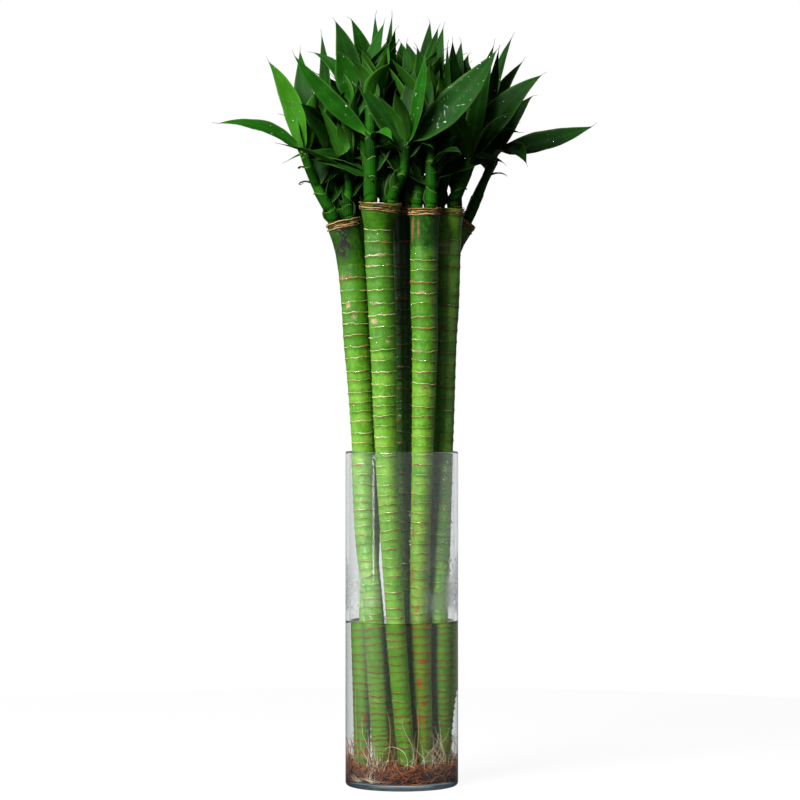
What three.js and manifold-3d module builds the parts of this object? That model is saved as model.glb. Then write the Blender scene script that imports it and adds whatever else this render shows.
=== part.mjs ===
// Lucky bamboo in its glass vase. Eight thick ring-scarred canes stand in the water of a straight
// glass cylinder, on a mat of roots. Each cane has a dry sheath collar round its cut top, and a few
// leafy shoots grow out of it. Millimetres, +Z up, -Y towards the viewer, origin under the vase.

import * as THREE from "three";
import { mergeVertices } from "three/addons/utils/BufferGeometryUtils.js";
import Module from "manifold-3d";

const wasm = await Module();
wasm.setup();

// Vase and water
const VASE_RADIUS = 50;
const VASE_HEIGHT = 296;
const VASE_WALL = 3;
const VASE_FLOOR = 5;
const VASE_EDGE = 1;
const BORE_RADIUS = VASE_RADIUS - VASE_WALL;
const WATER_LEVEL = 145;
const GLASS_SIDES = 32;

// Clearance between neighbours, and the room that a hole leaves round a cane or a root
const GAP = 0.3;
const HOLE_ROOM = 0.5;
const MERGE_TOLERANCE = 1e-4;

// Canes: radius at heights along a cane, which each cane scales by its own girth
const CANE_SIDES = 9;
const CANE_TAPER = [[0, 6.6], [145, 8.1], [296, 9.7], [400, 11.8], [480, 12.7], [540, 12.9]];
const RING_COUNT = 11;
const RING_RISE = 0.45;
const RING_STEP = 1.4;
const RING_TIGHTENING = 0.82;
const TOP_JOINT = 38;
const FLARE_LENGTH = 24;
const FLARE_MIDDLE = 0.45;
const FOOT_SHARE = 0.8;
const FOOT_ROUNDING = 3;
const HOLE_SPANS = 3;
const HOLE_OVERREACH = 12;

// Collar of dry sheath round a cane's top
const COLLAR_DEPTH = 6.5;
const COLLAR_LIP = 1.8;
const COLLAR_THICKNESS = 1;
const COLLAR_EDGE = 0.8;
const COLLAR_ROOM = 0.4;
const COLLAR_TEAR = 0.7;
const COLLAR_TEARS = [3, 4];

// Root mat and the strands that climb from it
const MAT_RADIUS = 46;
const MAT_HEIGHT = 21;
const MAT_BUMP = 2.4;
const MAT_PEAK = 1.6;
const MAT_WAVE = 0.2;
const MAT_SIDES = 16;
const MAT_RINGS = [16, 31, MAT_RADIUS];
const STRAND_COUNT = 9;
const STRAND_SIDES = 3;
const STRAND_RADIUS = 0.8;
const STRAND_THINNING = 0.1;
const STRAND_SPANS = 4;
const STRAND_HEIGHTS = [42, 92];
const STRAND_WANDER = 0.25;
const STRAND_DEPTH = 8;
const STRAND_LEAN = 5;
const STRAND_INSET = 2.6;
const STRAND_STEP = 0.07;
const STRAND_TRIES = 6;
const STRAND_SEED = 71;

// Shoots and leaves
const STEM_SIDES = 6;
const STEM_SPANS = 4;
const STEM_TIP_SHARE = 0.55;
const STEM_START = 8;
const ROOT_DEPTH = 1.5;
const ROOT_OFFSET = 0.45;
const ROOT_SPACING = 0.05;
const BLADE_THICKNESS = 0.8;
const BLADE_STATIONS = [0, 0.2, 0.46, 0.75];
const FAN_STATIONS = [0, 0.3, 0.66];
const BLADE_FOLD = THREE.MathUtils.degToRad(16);
const BLADE_WIDEST = 0.42;
const BLADE_ROOT_SHARE = 0.15;
const BOW_PLACE = 0.3;
const BOW_SHARE = 1.3;
const OUTER_BLADE_FROM = 0.19;
const LEAF_SEED = 2026;
const SWING_STEP = 6;
const SWING_TRIES = 21;
const LIFTS = [0, 12, -10, 24];
const SHRINKS = [1, 0.86, 0.72];

// Where the front view was measured from, so that a point seen there can be placed at its depth
const VIEW_DISTANCE = 2663;
const VIEW_HEIGHT = 341.5;

// Directions that a blade's upper face looks in
const UP = [0, 0, 1];
const FRONT = [-0.15, -0.9, 0.4];
const FRONT_UP = [-0.1, -0.6, 0.8];
const FRONT_LEFT = [-0.6, -0.7, 0.4];
const FRONT_RIGHT = [0.6, -0.7, 0.4];

// Each cane's middle from its foot to its top, with its girth and the radius of its flared top
const CANES = {
  a: { girth: 1.03, top: 14.5, route: [[-16, -29, 21], [-23.5, -26.5, 145], [-31, -19, 220], [-34, -12, 296],
    [-36.6, -12, 351], [-39.5, -13, 392], [-41.4, -14, 430], [-45, -14, 467], [-52.4, -14, 499.5]] },
  b: { girth: 1, top: 17.6, route: [[4.6, -31, 14], [-5, -30.5, 145], [-13.5, -32, 296], [-16, -34, 386],
    [-20.1, -36, 483], [-19, -38, 514]] },
  c: { girth: 0.98, top: 13.6, route: [[17, -20, 18], [14.6, -21, 145], [18, -27, 296], [20.1, -30, 392],
    [19.3, -32, 430], [19.9, -34, 509.5]] },
  d: { girth: 1, top: 14.8, route: [[29, -6, 18], [32, -10, 145], [35.6, -2, 296], [37, -2, 392],
    [38.8, -2, 430], [40, -2, 511]] },
  e: { girth: 0.96, top: 14, route: [[20, 20, 13], [23, 24, 145], [26, 26, 296], [27, 27, 400],
    [31, 30, 437], [40, 33, 474], [52.8, 36, 503]] },
  f: { girth: 1, top: 14, route: [[4, 4, 14], [3, 5, 145], [3, 5, 296], [3, 6, 430], [2, 6, 512]] },
  g: { girth: 0.98, top: 14, route: [[-29.5, -12, 12], [-30, -5, 145], [-27, 22, 296], [-30, 28, 430],
    [-36, 34, 505]] },
  h: { girth: 0.95, top: 13.4, route: [[-4, 26, 13], [-5, 30, 145], [-5, 35, 296], [-2, 44, 430],
    [-3, 47, 505]] },
};

// Shoots: the cane they stand on, their seat on its top, their stem's radius, and the points that the
// stem passes through in the front view: across, height and depth. The last point is the crown.
// A leaf gives its tip in the front view in the same way, its width, how far its midrib bows above the
// straight line, and the way its upper face looks. A fan and a skirt add a number of leaves by rule.
const SHOOTS = {
  a1: { cane: "a", seat: [-8, -2], radius: 5, stem: [[-72, 524, -14], [-80, 541, -15], [-88, 562, -16]],
    leaves: [
      { tip: [-168, 586, -30], width: 19, bow: 11, face: FRONT_UP },
      { tip: [-122, 646, -32], width: 22, bow: 9, face: FRONT_LEFT },
      { tip: [-91, 656, 12], width: 20, bow: 6, face: FRONT },
    ], fan: 1 },
  a2: { cane: "a", seat: [-1, 8], radius: 4.2, stem: [[-61, 534, -4], [-66, 556, -2], [-68, 572, 0]],
    leaves: [
      { tip: [-72, 671, 6], width: 15, bow: 5, face: FRONT_LEFT },
      { tip: [-90, 602, -48], width: 17, bow: 9, face: FRONT_UP },
    ], fan: 2, skirt: 1 },
  a3: { cane: "a", seat: [7, -4], radius: 4.4, stem: [[-47, 532, -20], [-48, 545, -22]],
    leaves: [
      { tip: [-113, 570, -52], width: 17, bow: 3, face: UP },
      { tip: [-58, 590, -60], width: 16, bow: 6, face: FRONT_UP },
    ], fan: 1 },
  b1: { cane: "b", seat: [-8.5, -4], radius: 6, stem: [[-28, 555, -42], [-28, 585, -42], [-29, 607, -40]],
    leaves: [
      { tip: [-99, 652, -58], width: 17, bow: -3, face: FRONT_LEFT, from: 0.68 },
      { tip: [-8, 571, -84], width: 14, bow: 8, face: FRONT_UP, from: 0.68 },
      { tip: [-25, 634, -46], width: 9, bow: 0, face: FRONT },
    ], fan: 1 },
  b2: { cane: "b", seat: [4, 8], radius: 5, stem: [[-17, 552, -26], [-19, 580, -24], [-23, 604, -22]],
    leaves: [
      { tip: [-11, 661, -26], width: 15, bow: 0, face: FRONT_LEFT },
      { tip: [12, 640, -12], width: 18, bow: 6, face: UP },
    ], fan: 1 },
  b3: { cane: "b", seat: [11, -4], radius: 4.8, stem: [[1, 543, -46], [3, 560, -48], [6, 571, -49]],
    leaves: [
      { tip: [87, 657, -66], width: 30, bow: -6, face: FRONT },
      { tip: [21, 654, -74], width: 17, bow: -5, face: FRONT_LEFT },
      { tip: [12, 662, -54], width: 25, bow: -13, face: FRONT },
      { tip: [-43, 615, -72], width: 18, bow: 3, face: FRONT },
    ] },
  b4: { cane: "b", seat: [-7, 9], radius: 4.4, stem: [[-30, 550, -24], [-38, 580, -22], [-43, 606, -20]],
    leaves: [
      { tip: [-59, 655, -34], width: 23, bow: 3, face: FRONT },
      { tip: [-61, 682, -22], width: 23, bow: 5, face: FRONT },
      { tip: [-83, 652, -6], width: 16, bow: 12, face: FRONT_UP },
      { tip: [-14, 683, -18], width: 17, bow: 3, face: FRONT },
    ] },
  c1: { cane: "c", seat: [6, -3], radius: 5, stem: [[26, 537, -36], [25, 560, -34], [24, 594, -30]],
    leaves: [
      { tip: [31, 661, -34], width: 18, bow: 2, face: FRONT },
      { tip: [54, 560, -84], width: 16, bow: 8, face: FRONT_UP, from: 0.5 },
      { tip: [38, 678, -22], width: 17, bow: 3, face: FRONT },
    ], fan: 1 },
  c2: { cane: "c", seat: [4, 7], radius: 4.5, stem: [[30, 540, -18], [38, 566, -14], [46, 586, -12]],
    leaves: [
      { tip: [45, 664, -18], width: 18, bow: 0, face: FRONT_RIGHT },
      { tip: [40, 660, -32], width: 11, bow: -3, face: FRONT_LEFT },
      { tip: [54, 666, -4], width: 17, bow: 2, face: FRONT },
    ], fan: 1, skirt: 2 },
  c3: { cane: "c", seat: [-6.5, 2], radius: 5, stem: [[15, 540, -24], [15, 566, -20], [13, 588, -16]],
    leaves: [
      { tip: [1, 661, -10], width: 16, bow: 3, face: FRONT },
      { tip: [34, 680, -10], width: 16, bow: 4, face: FRONT },
    ], fan: 1, skirt: 3 },
  d1: { cane: "d", seat: [5, -6], radius: 4.8, stem: [[50, 526, -12], [56, 542, -16], [61, 556, -18]],
    leaves: [
      { tip: [129, 633, -36], width: 28, bow: 8, face: FRONT },
      { tip: [83, 659, -24], width: 18, bow: 6, face: FRONT },
      { tip: [96, 596, -74], width: 18, bow: 10, face: FRONT_UP },
    ] },
  d2: { cane: "d", seat: [7, 5], radius: 4.8, stem: [[54, 534, 6], [65, 560, 8], [74, 581, 9]],
    leaves: [
      { tip: [100, 668, 6], width: 15, bow: 4, face: FRONT_LEFT },
      { tip: [86, 653, -4], width: 17, bow: 3, face: FRONT_RIGHT },
      { tip: [111, 646, 18], width: 14, bow: 6, face: FRONT },
    ], fan: 1, skirt: 1 },
  d3: { cane: "d", seat: [-6.5, 4], radius: 5, stem: [[38, 540, 8], [44, 572, 12], [51, 600, 15]],
    leaves: [
      { tip: [60, 651, 4], width: 16, bow: 3, face: FRONT },
    ], fan: 3, skirt: 3 },
  e1: { cane: "e", seat: [6, -5], radius: 4.6, stem: [[70, 528, 30], [78, 548, 30], [84, 563, 29]],
    leaves: [
      { tip: [174, 586, 22], width: 21, bow: -2, face: FRONT },
      { tip: [119, 614, 30], width: 18, bow: 5, face: FRONT },
      { tip: [112, 548, -28], width: 22, bow: 14, face: FRONT_UP },
    ], fan: 1 },
  e2: { cane: "e", seat: [5, 6.6], radius: 4.8, stem: [[70, 530, 52], [84, 556, 60]], fan: 5 },
  e3: { cane: "e", seat: [-7, 3], radius: 4.8, stem: [[47, 544, 46], [51, 590, 56]], fan: 5, skirt: 2 },
  f1: { cane: "f", seat: [-7, -3], radius: 5.2, stem: [[-9, 550, 2], [-13, 580, 2], [-24, 606, 2]],
    leaves: [
      { tip: [-47, 684, -4], width: 18, bow: 4, face: FRONT },
      { tip: [-24, 687, 10], width: 14, bow: 2, face: FRONT_LEFT },
      { tip: [-8, 688, 4], width: 8, bow: 0, face: FRONT },
      { tip: [-5, 674, -8], width: 17, bow: 3, face: FRONT_RIGHT },
    ], fan: 1, skirt: 2 },
  f2: { cane: "f", seat: [6, -5], radius: 5.2, stem: [[10, 550, 0], [16, 580, 2], [18, 604, 4]],
    leaves: [
      { tip: [26, 684, 0], width: 14, bow: 3, face: FRONT },
      { tip: [3, 664, 14], width: 18, bow: 4, face: FRONT },
    ], fan: 2, skirt: 3 },
  f3: { cane: "f", seat: [1, 7.4], radius: 5.4, stem: [[2, 550, 18], [2, 590, 24]], fan: 5, skirt: 3 },
  g1: { cane: "g", seat: [-8, 0], radius: 5.2, stem: [[-54, 535, 42], [-72, 572, 48]], fan: 6, skirt: 2 },
  g2: { cane: "g", seat: [2, 7.6], radius: 5.2, stem: [[-38, 540, 52], [-42, 582, 64]], fan: 6 },
  g3: { cane: "g", seat: [5, -6], radius: 5.2, stem: [[-32, 550, 28], [-40, 598, 28]], fan: 4, skirt: 3 },
  h1: { cane: "h", seat: [-6.8, 3], radius: 5.2, stem: [[-12, 535, 60], [-16, 574, 74]], fan: 6 },
  h2: { cane: "h", seat: [6.8, 3], radius: 5.2, stem: [[8, 535, 60], [20, 568, 76]], fan: 6 },
  h3: { cane: "h", seat: [0, -7], radius: 5.2, stem: [[-6, 560, 44], [-10, 606, 46]], fan: 4, skirt: 3 },
};

// Fans and skirts: how steeply their leaves rise in turn, in degrees, and where a skirt's leaves leave
// the stem. The dome holds the tips of both.
const FAN_RISES = [62, 30, 74, 44, 18, 54];
const FAN_SPREAD = 46;
const FAN_LENGTH = 98;
const SKIRT_RISES = [24, 6, 38, 14];
const SKIRT_ROOTS = [0.62, 0.5, 0.74];
const SKIRT_LENGTH = 76;
const DRAWN_WIDTH = 21;
const DRAWN_TURN = 12;
const DRAWN_SLOPE = 7;
const DRAWN_LENGTHS = [0.84, 1.12];
const DRAWN_WIDTHS = [0.8, 1.15];
const DRAWN_BOWS = [6, 13];
const DRAWN_FACE = 0.4;
const DOME_CENTRE = [-4, 12, 556];
const DOME_RADII = [100, 122, 116];
const DOME_ROOM = 1.14;

const COLOURS = {
  glass: { color: 0xdfe9e8, roughness: 0.03, metalness: 0 },
  water: { color: 0xcfe4dc, roughness: 0.02, metalness: 0 },
  roots: { color: 0x8a4a22, roughness: 0.85, metalness: 0 },
  cane: { color: 0x5aa82c, roughness: 0.42, metalness: 0 },
  collar: { color: 0x9c7a4e, roughness: 0.9, metalness: 0 },
  leaf: { color: 0x1d5a17, roughness: 0.38, metalness: 0 },
};

// A small seeded generator, so that every build draws the same numbers
class Draws {
  constructor(seed) {
    this.state = seed >>> 0;
  }

  next() {
    this.state = (this.state + 0x6d2b79f5) >>> 0;
    let mixed = this.state;
    mixed = Math.imul(mixed ^ (mixed >>> 15), mixed | 1);
    mixed ^= mixed + Math.imul(mixed ^ (mixed >>> 7), mixed | 61);
    return ((mixed ^ (mixed >>> 14)) >>> 0) / 4294967296;
  }

  between([low, high]) {
    return low + (high - low) * this.next();
  }

  around(reach) {
    return this.between([-reach, reach]);
  }
}

function vector(triple) {
  return new THREE.Vector3(...triple);
}

// A point measured in the front view, moved to its depth along the line of sight
function seen([across, height, depth]) {
  const growth = 1 + depth / VIEW_DISTANCE;
  return new THREE.Vector3(across * growth, depth, VIEW_HEIGHT + (height - VIEW_HEIGHT) * growth);
}

// A smooth centre line with a steady frame at any distance along it
class Route {
  constructor(points) {
    this.curve = new THREE.CatmullRomCurve3(points, false, "catmullrom", 0.5);
    this.length = this.curve.getLength();
  }

  frame(distance) {
    const share = THREE.MathUtils.clamp(distance / this.length, 0, 1);
    const along = this.curve.getTangentAt(share);
    const origin = this.curve.getPointAt(share).addScaledVector(along, distance - share * this.length);
    const right = new THREE.Vector3(1, 0, 0).addScaledVector(along, -along.x).normalize();
    const back = new THREE.Vector3().crossVectors(along, right);
    return { origin, along, right, back };
  }
}

// Bends an upright lathe so that its axis follows a route
function bendAlong(lathe, route) {
  const position = lathe.attributes.position;
  for (let i = 0; i < position.count; i += 1) {
    const { origin, right, back } = route.frame(position.getY(i));
    origin.addScaledVector(right, position.getX(i)).addScaledVector(back, -position.getZ(i));
    position.setXYZ(i, origin.x, origin.y, origin.z);
  }
  return lathe;
}

// The closed solid of a geometry: shared vertices merged and empty triangles dropped
function toSolid(geometry) {
  const bare = new THREE.BufferGeometry();
  bare.setAttribute("position", geometry.attributes.position.clone());
  bare.setIndex(geometry.index);
  const merged = mergeVertices(bare, MERGE_TOLERANCE);
  const triangles = [];
  const index = merged.index.array;
  for (let i = 0; i < index.length; i += 3) {
    const [a, b, c] = [index[i], index[i + 1], index[i + 2]];
    if (a !== b && b !== c && c !== a) {
      triangles.push(a, b, c);
    }
  }
  return new wasm.Manifold(new wasm.Mesh({
    numProp: 3,
    vertProperties: new Float32Array(merged.attributes.position.array),
    triVerts: new Uint32Array(triangles),
  }));
}

function toGeometry(solid) {
  const mesh = solid.getMesh();
  const geometry = new THREE.BufferGeometry();
  geometry.setAttribute("position", new THREE.BufferAttribute(new Float32Array(mesh.vertProperties), 3));
  geometry.setIndex(new THREE.BufferAttribute(new Uint32Array(mesh.triVerts), 1));
  geometry.computeVertexNormals();
  return geometry;
}

// A lathe about the upright axis, from pairs of radius and height
function lathe(pairs, sides) {
  const profile = pairs.map(([radius, height]) => new THREE.Vector2(radius, height));
  return new THREE.LatheGeometry(profile, sides);
}

function upright(geometry) {
  return geometry.rotateX(Math.PI / 2);
}

function vaseSolid() {
  const inner = BORE_RADIUS;
  const top = VASE_HEIGHT;
  return toSolid(upright(lathe([
    [0, 0], [VASE_RADIUS - 2 * VASE_EDGE, 0], [VASE_RADIUS - 0.5 * VASE_EDGE, 0.6 * VASE_EDGE],
    [VASE_RADIUS, 2 * VASE_EDGE], [VASE_RADIUS, top - VASE_EDGE], [VASE_RADIUS - 0.7 * VASE_EDGE, top],
    [inner + 0.7 * VASE_EDGE, top], [inner, top - VASE_EDGE], [inner, VASE_FLOOR], [0, VASE_FLOOR],
  ], GLASS_SIDES)));
}

function interpolate(table, at) {
  const last = table.length - 1;
  if (at >= table[last][0]) {
    return table[last][1];
  }
  let i = 0;
  while (at > table[i + 1][0]) {
    i += 1;
  }
  const [x0, y0] = table[i];
  const [x1, y1] = table[i + 1];
  return y0 + ((y1 - y0) * (Math.max(at, x0) - x0)) / (x1 - x0);
}

// One cane: its route, its radius at a distance from its foot, and where its ring scars lie
class Cane {
  constructor(name, { girth, top, route }) {
    this.name = name;
    this.girth = girth;
    this.topRadius = top;
    this.footHeight = route[0][2];
    this.route = new Route(route.map(vector));
    this.length = this.route.length;
  }

  radius(distance) {
    const plain = interpolate(CANE_TAPER, this.footHeight + distance) * this.girth;
    const share = THREE.MathUtils.smoothstep(distance, this.length - FLARE_LENGTH, this.length);
    return plain + (this.topRadius - plain) * share;
  }

  // Rings lie closer together towards the foot, and the top joint is long and bare
  ringDistances() {
    const rings = [];
    for (let i = 1; i <= RING_COUNT; i += 1) {
      const share = (i / RING_COUNT) ** (1 / RING_TIGHTENING);
      rings.push(share * (this.length - TOP_JOINT));
    }
    return rings;
  }

  solid() {
    const pairs = [[0, 0], [this.radius(0) * FOOT_SHARE, 0], [this.radius(FOOT_ROUNDING), FOOT_ROUNDING]];
    for (const ring of this.ringDistances()) {
      pairs.push([this.radius(ring) + RING_RISE, ring], [this.radius(ring + RING_STEP), ring + RING_STEP]);
    }
    const flareMiddle = this.length - FLARE_MIDDLE * FLARE_LENGTH;
    pairs.push([this.radius(flareMiddle), flareMiddle], [this.topRadius, this.length], [0, this.length]);
    return toSolid(bendAlong(lathe(pairs, CANE_SIDES), this.route));
  }

  // The plain hole that the cane stands in
  hole() {
    const pairs = [[0, -HOLE_ROOM], [this.radius(0) + RING_RISE + HOLE_ROOM, -HOLE_ROOM]];
    const reach = WATER_LEVEL + HOLE_OVERREACH - this.footHeight;
    for (let i = 1; i <= HOLE_SPANS; i += 1) {
      const distance = (reach * i) / HOLE_SPANS;
      pairs.push([this.radius(distance) + RING_RISE + HOLE_ROOM, distance]);
    }
    pairs.push([0, reach]);
    return toSolid(bendAlong(lathe(pairs, CANE_SIDES), this.route));
  }

  collarSolid() {
    const low = this.length - COLLAR_DEPTH;
    const high = this.length + COLLAR_LIP;
    const lowRadius = this.radius(low) + COLLAR_ROOM;
    const topRadius = this.radius(this.length) + COLLAR_ROOM;
    const edge = COLLAR_THICKNESS * COLLAR_EDGE;
    const ring = lathe([
      [lowRadius + edge, low], [topRadius + COLLAR_THICKNESS, this.length], [topRadius + edge, high],
      [topRadius, high], [topRadius, this.length], [lowRadius, low], [lowRadius + edge, low],
    ], CANE_SIDES);
    const shift = this.girth * this.length;
    const position = ring.attributes.position;
    for (let i = 0; i < position.count; i += 1) {
      const turn = Math.atan2(position.getX(i), position.getZ(i));
      const height = position.getY(i);
      if (height !== this.length) {
        const [slow, quick] = COLLAR_TEARS;
        const tear = COLLAR_TEAR * (Math.sin(slow * turn + shift) + Math.cos(quick * turn));
        position.setY(i, height + tear);
      }
    }
    return toSolid(bendAlong(ring, this.route));
  }
}

// The mat's top surface: low hummocks by formula, no higher than the mat's peak
function matTop(x, y) {
  const across = MAT_WAVE * x;
  const back = MAT_WAVE * y;
  const hummocks = Math.sin(across + 1) * Math.cos(0.9 * back) + 0.6 * Math.sin(1.6 * back - across);
  return MAT_HEIGHT + MAT_BUMP * hummocks;
}

function matSolid() {
  const floor = VASE_FLOOR + GAP;
  const rings = MAT_RINGS.map((ring) => [ring, MAT_HEIGHT]).reverse();
  const disc = upright(lathe([[0, floor], [MAT_RADIUS, floor], ...rings, [0, MAT_HEIGHT]], MAT_SIDES));
  const position = disc.attributes.position;
  for (let i = 0; i < position.count; i += 1) {
    if (position.getZ(i) > floor + 1) {
      position.setZ(i, matTop(position.getX(i), position.getY(i)));
    }
  }
  return toSolid(disc);
}

// A root that leaves the mat and climbs close to the glass, thinning to its end
function strandSolid(turn, height, wander, room) {
  const points = [];
  const reach = BORE_RADIUS - STRAND_INSET;
  const low = MAT_HEIGHT - STRAND_DEPTH;
  for (let i = 0; i <= STRAND_SPANS; i += 1) {
    const share = i / STRAND_SPANS;
    const radius = reach - STRAND_LEAN * (1 - share) ** 2;
    const angle = turn + wander * Math.sin(share * 3) * share;
    const rise = low + (height - low) * share;
    points.push(new THREE.Vector3(radius * Math.cos(angle), radius * Math.sin(angle), rise));
  }
  const route = new Route(points);
  const pairs = [[0, -room], [STRAND_RADIUS + room, -room]];
  for (let i = 1; i <= STRAND_SPANS; i += 1) {
    const radius = STRAND_RADIUS * (1 - STRAND_THINNING * i) + room;
    pairs.push([radius, ((route.length + room) * i) / STRAND_SPANS]);
  }
  pairs.push([0, route.length + room]);
  return toSolid(bendAlong(lathe(pairs, STRAND_SIDES), route));
}

const boxes = new WeakMap();

function boxOf(solid) {
  if (!boxes.has(solid)) {
    boxes.set(solid, solid.boundingBox());
  }
  return boxes.get(solid);
}

function overlaps(a, b) {
  const boxA = boxOf(a);
  const boxB = boxOf(b);
  for (let axis = 0; axis < 3; axis += 1) {
    if (boxA.min[axis] > boxB.max[axis] || boxB.min[axis] > boxA.max[axis]) {
      return false;
    }
  }
  const common = a.intersect(b);
  const result = !common.isEmpty();
  common.delete();
  return result;
}

// Strands are spaced round the glass, and each moves on until it clears the canes
function placeStrands(canes) {
  const draws = new Draws(STRAND_SEED);
  const strands = [];
  for (let i = 0; i < STRAND_COUNT; i += 1) {
    const start = ((i + draws.next() / 2) * 2 * Math.PI) / STRAND_COUNT;
    const height = draws.between(STRAND_HEIGHTS);
    const wander = draws.around(STRAND_WANDER);
    for (let step = 0; step < STRAND_TRIES; step += 1) {
      const turn = start + step * STRAND_STEP;
      const wide = strandSolid(turn, height, wander, HOLE_ROOM + GAP);
      if (!canes.some((cane) => overlaps(wide, cane))) {
        const body = strandSolid(turn, height, wander, 0);
        const hole = strandSolid(turn, height, wander, GAP);
        strands.push({ body, hole });
        break;
      }
    }
  }
  return strands;
}

// Share of a blade's full width along it: a narrow root, widest before the middle, a drawn-out tip
function bladeShape(share) {
  if (share < BLADE_WIDEST) {
    const rise = Math.sin((Math.PI / 2) * (share / BLADE_WIDEST)) ** 1.2;
    return BLADE_ROOT_SHARE + (1 - BLADE_ROOT_SHARE) * rise;
  }
  const rest = (share - BLADE_WIDEST) / (1 - BLADE_WIDEST);
  return (1 - rest * rest) ** 1.35;
}

// The midrib of a leaf, which bows above the straight line from its root to its tip
function midrib(root, tip, bow) {
  const chord = tip.clone().sub(root);
  const lift = new THREE.Vector3(0, 0, 1).projectOnPlane(chord.clone().normalize());
  if (lift.lengthSq() > 1e-6) {
    lift.normalize();
  }
  const near = root.clone().addScaledVector(chord, BOW_PLACE).addScaledVector(lift, bow * BOW_SHARE);
  const far = root.clone().addScaledVector(chord, 1 - BOW_PLACE).addScaledVector(lift, bow * BOW_SHARE);
  return new THREE.CubicBezierCurve3(root, near, far, tip);
}

// One closed blade: a shallow channel folded along its rib. Room widens it on every side.
function bladeSolid(leaf, tip, room = 0, from = 0) {
  const curve = midrib(leaf.root, tip, leaf.bow);
  const vertices = [];
  const triangles = [];
  const thickness = BLADE_THICKNESS / 2 + room;
  const stations = [from, ...leaf.stations.filter((share) => share > from)];
  for (const share of stations) {
    const middle = curve.getPoint(share);
    const along = curve.getTangent(share);
    const normal = leaf.face.clone().projectOnPlane(along).normalize();
    const side = new THREE.Vector3().crossVectors(along, normal);
    const half = (leaf.width / 2) * bladeShape(share) + room;
    for (const height of [thickness, -thickness]) {
      for (const edge of [-half, 0, half]) {
        const point = middle.clone().addScaledVector(side, edge * Math.cos(BLADE_FOLD));
        point.addScaledVector(normal, Math.abs(edge) * Math.sin(BLADE_FOLD) + height);
        vertices.push(point.x, point.y, point.z);
      }
    }
  }
  const along = curve.getTangent(1);
  const normal = leaf.face.clone().projectOnPlane(along).normalize();
  for (const height of [thickness, -thickness]) {
    const point = tip.clone().addScaledVector(along, room).addScaledVector(normal, height);
    vertices.push(point.x, point.y, point.z);
  }
  triangles.push(3, 4, 1, 3, 1, 0, 4, 5, 2, 4, 2, 1);
  for (let i = 0; i < stations.length - 1; i += 1) {
    const a = 6 * i;
    const b = a + 6;
    for (const k of [0, 1]) {
      triangles.push(a + k, a + k + 1, b + k + 1, a + k, b + k + 1, b + k);
      triangles.push(a + k + 3, b + k + 4, a + k + 4, a + k + 3, b + k + 3, b + k + 4);
    }
    triangles.push(a + 5, b + 5, b + 2, a + 5, b + 2, a + 2, a + 3, b, b + 3, a + 3, a, b);
  }
  const a = 6 * (stations.length - 1);
  const top = a + 6;
  const low = a + 7;
  triangles.push(a, a + 1, top, a + 1, a + 2, top, a + 3, low, a + 4, a + 4, low, a + 5);
  triangles.push(a + 5, low, top, a + 5, top, a + 2, a + 3, top, low, a + 3, a, top);
  const geometry = new THREE.BufferGeometry();
  geometry.setAttribute("position", new THREE.Float32BufferAttribute(vertices, 3));
  geometry.setIndex(triangles);
  return toSolid(geometry);
}

// Draws a tip back into the dome that the crown of foliage fills, or into one a little wider
function insideDome(tip, room = 1) {
  const centre = vector(DOME_CENTRE);
  const offset = tip.clone().sub(centre);
  const reach = Math.hypot(offset.x / DOME_RADII[0], offset.y / DOME_RADII[1], offset.z / DOME_RADII[2]);
  return reach > room ? centre.addScaledVector(offset, room / reach) : tip;
}

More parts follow.
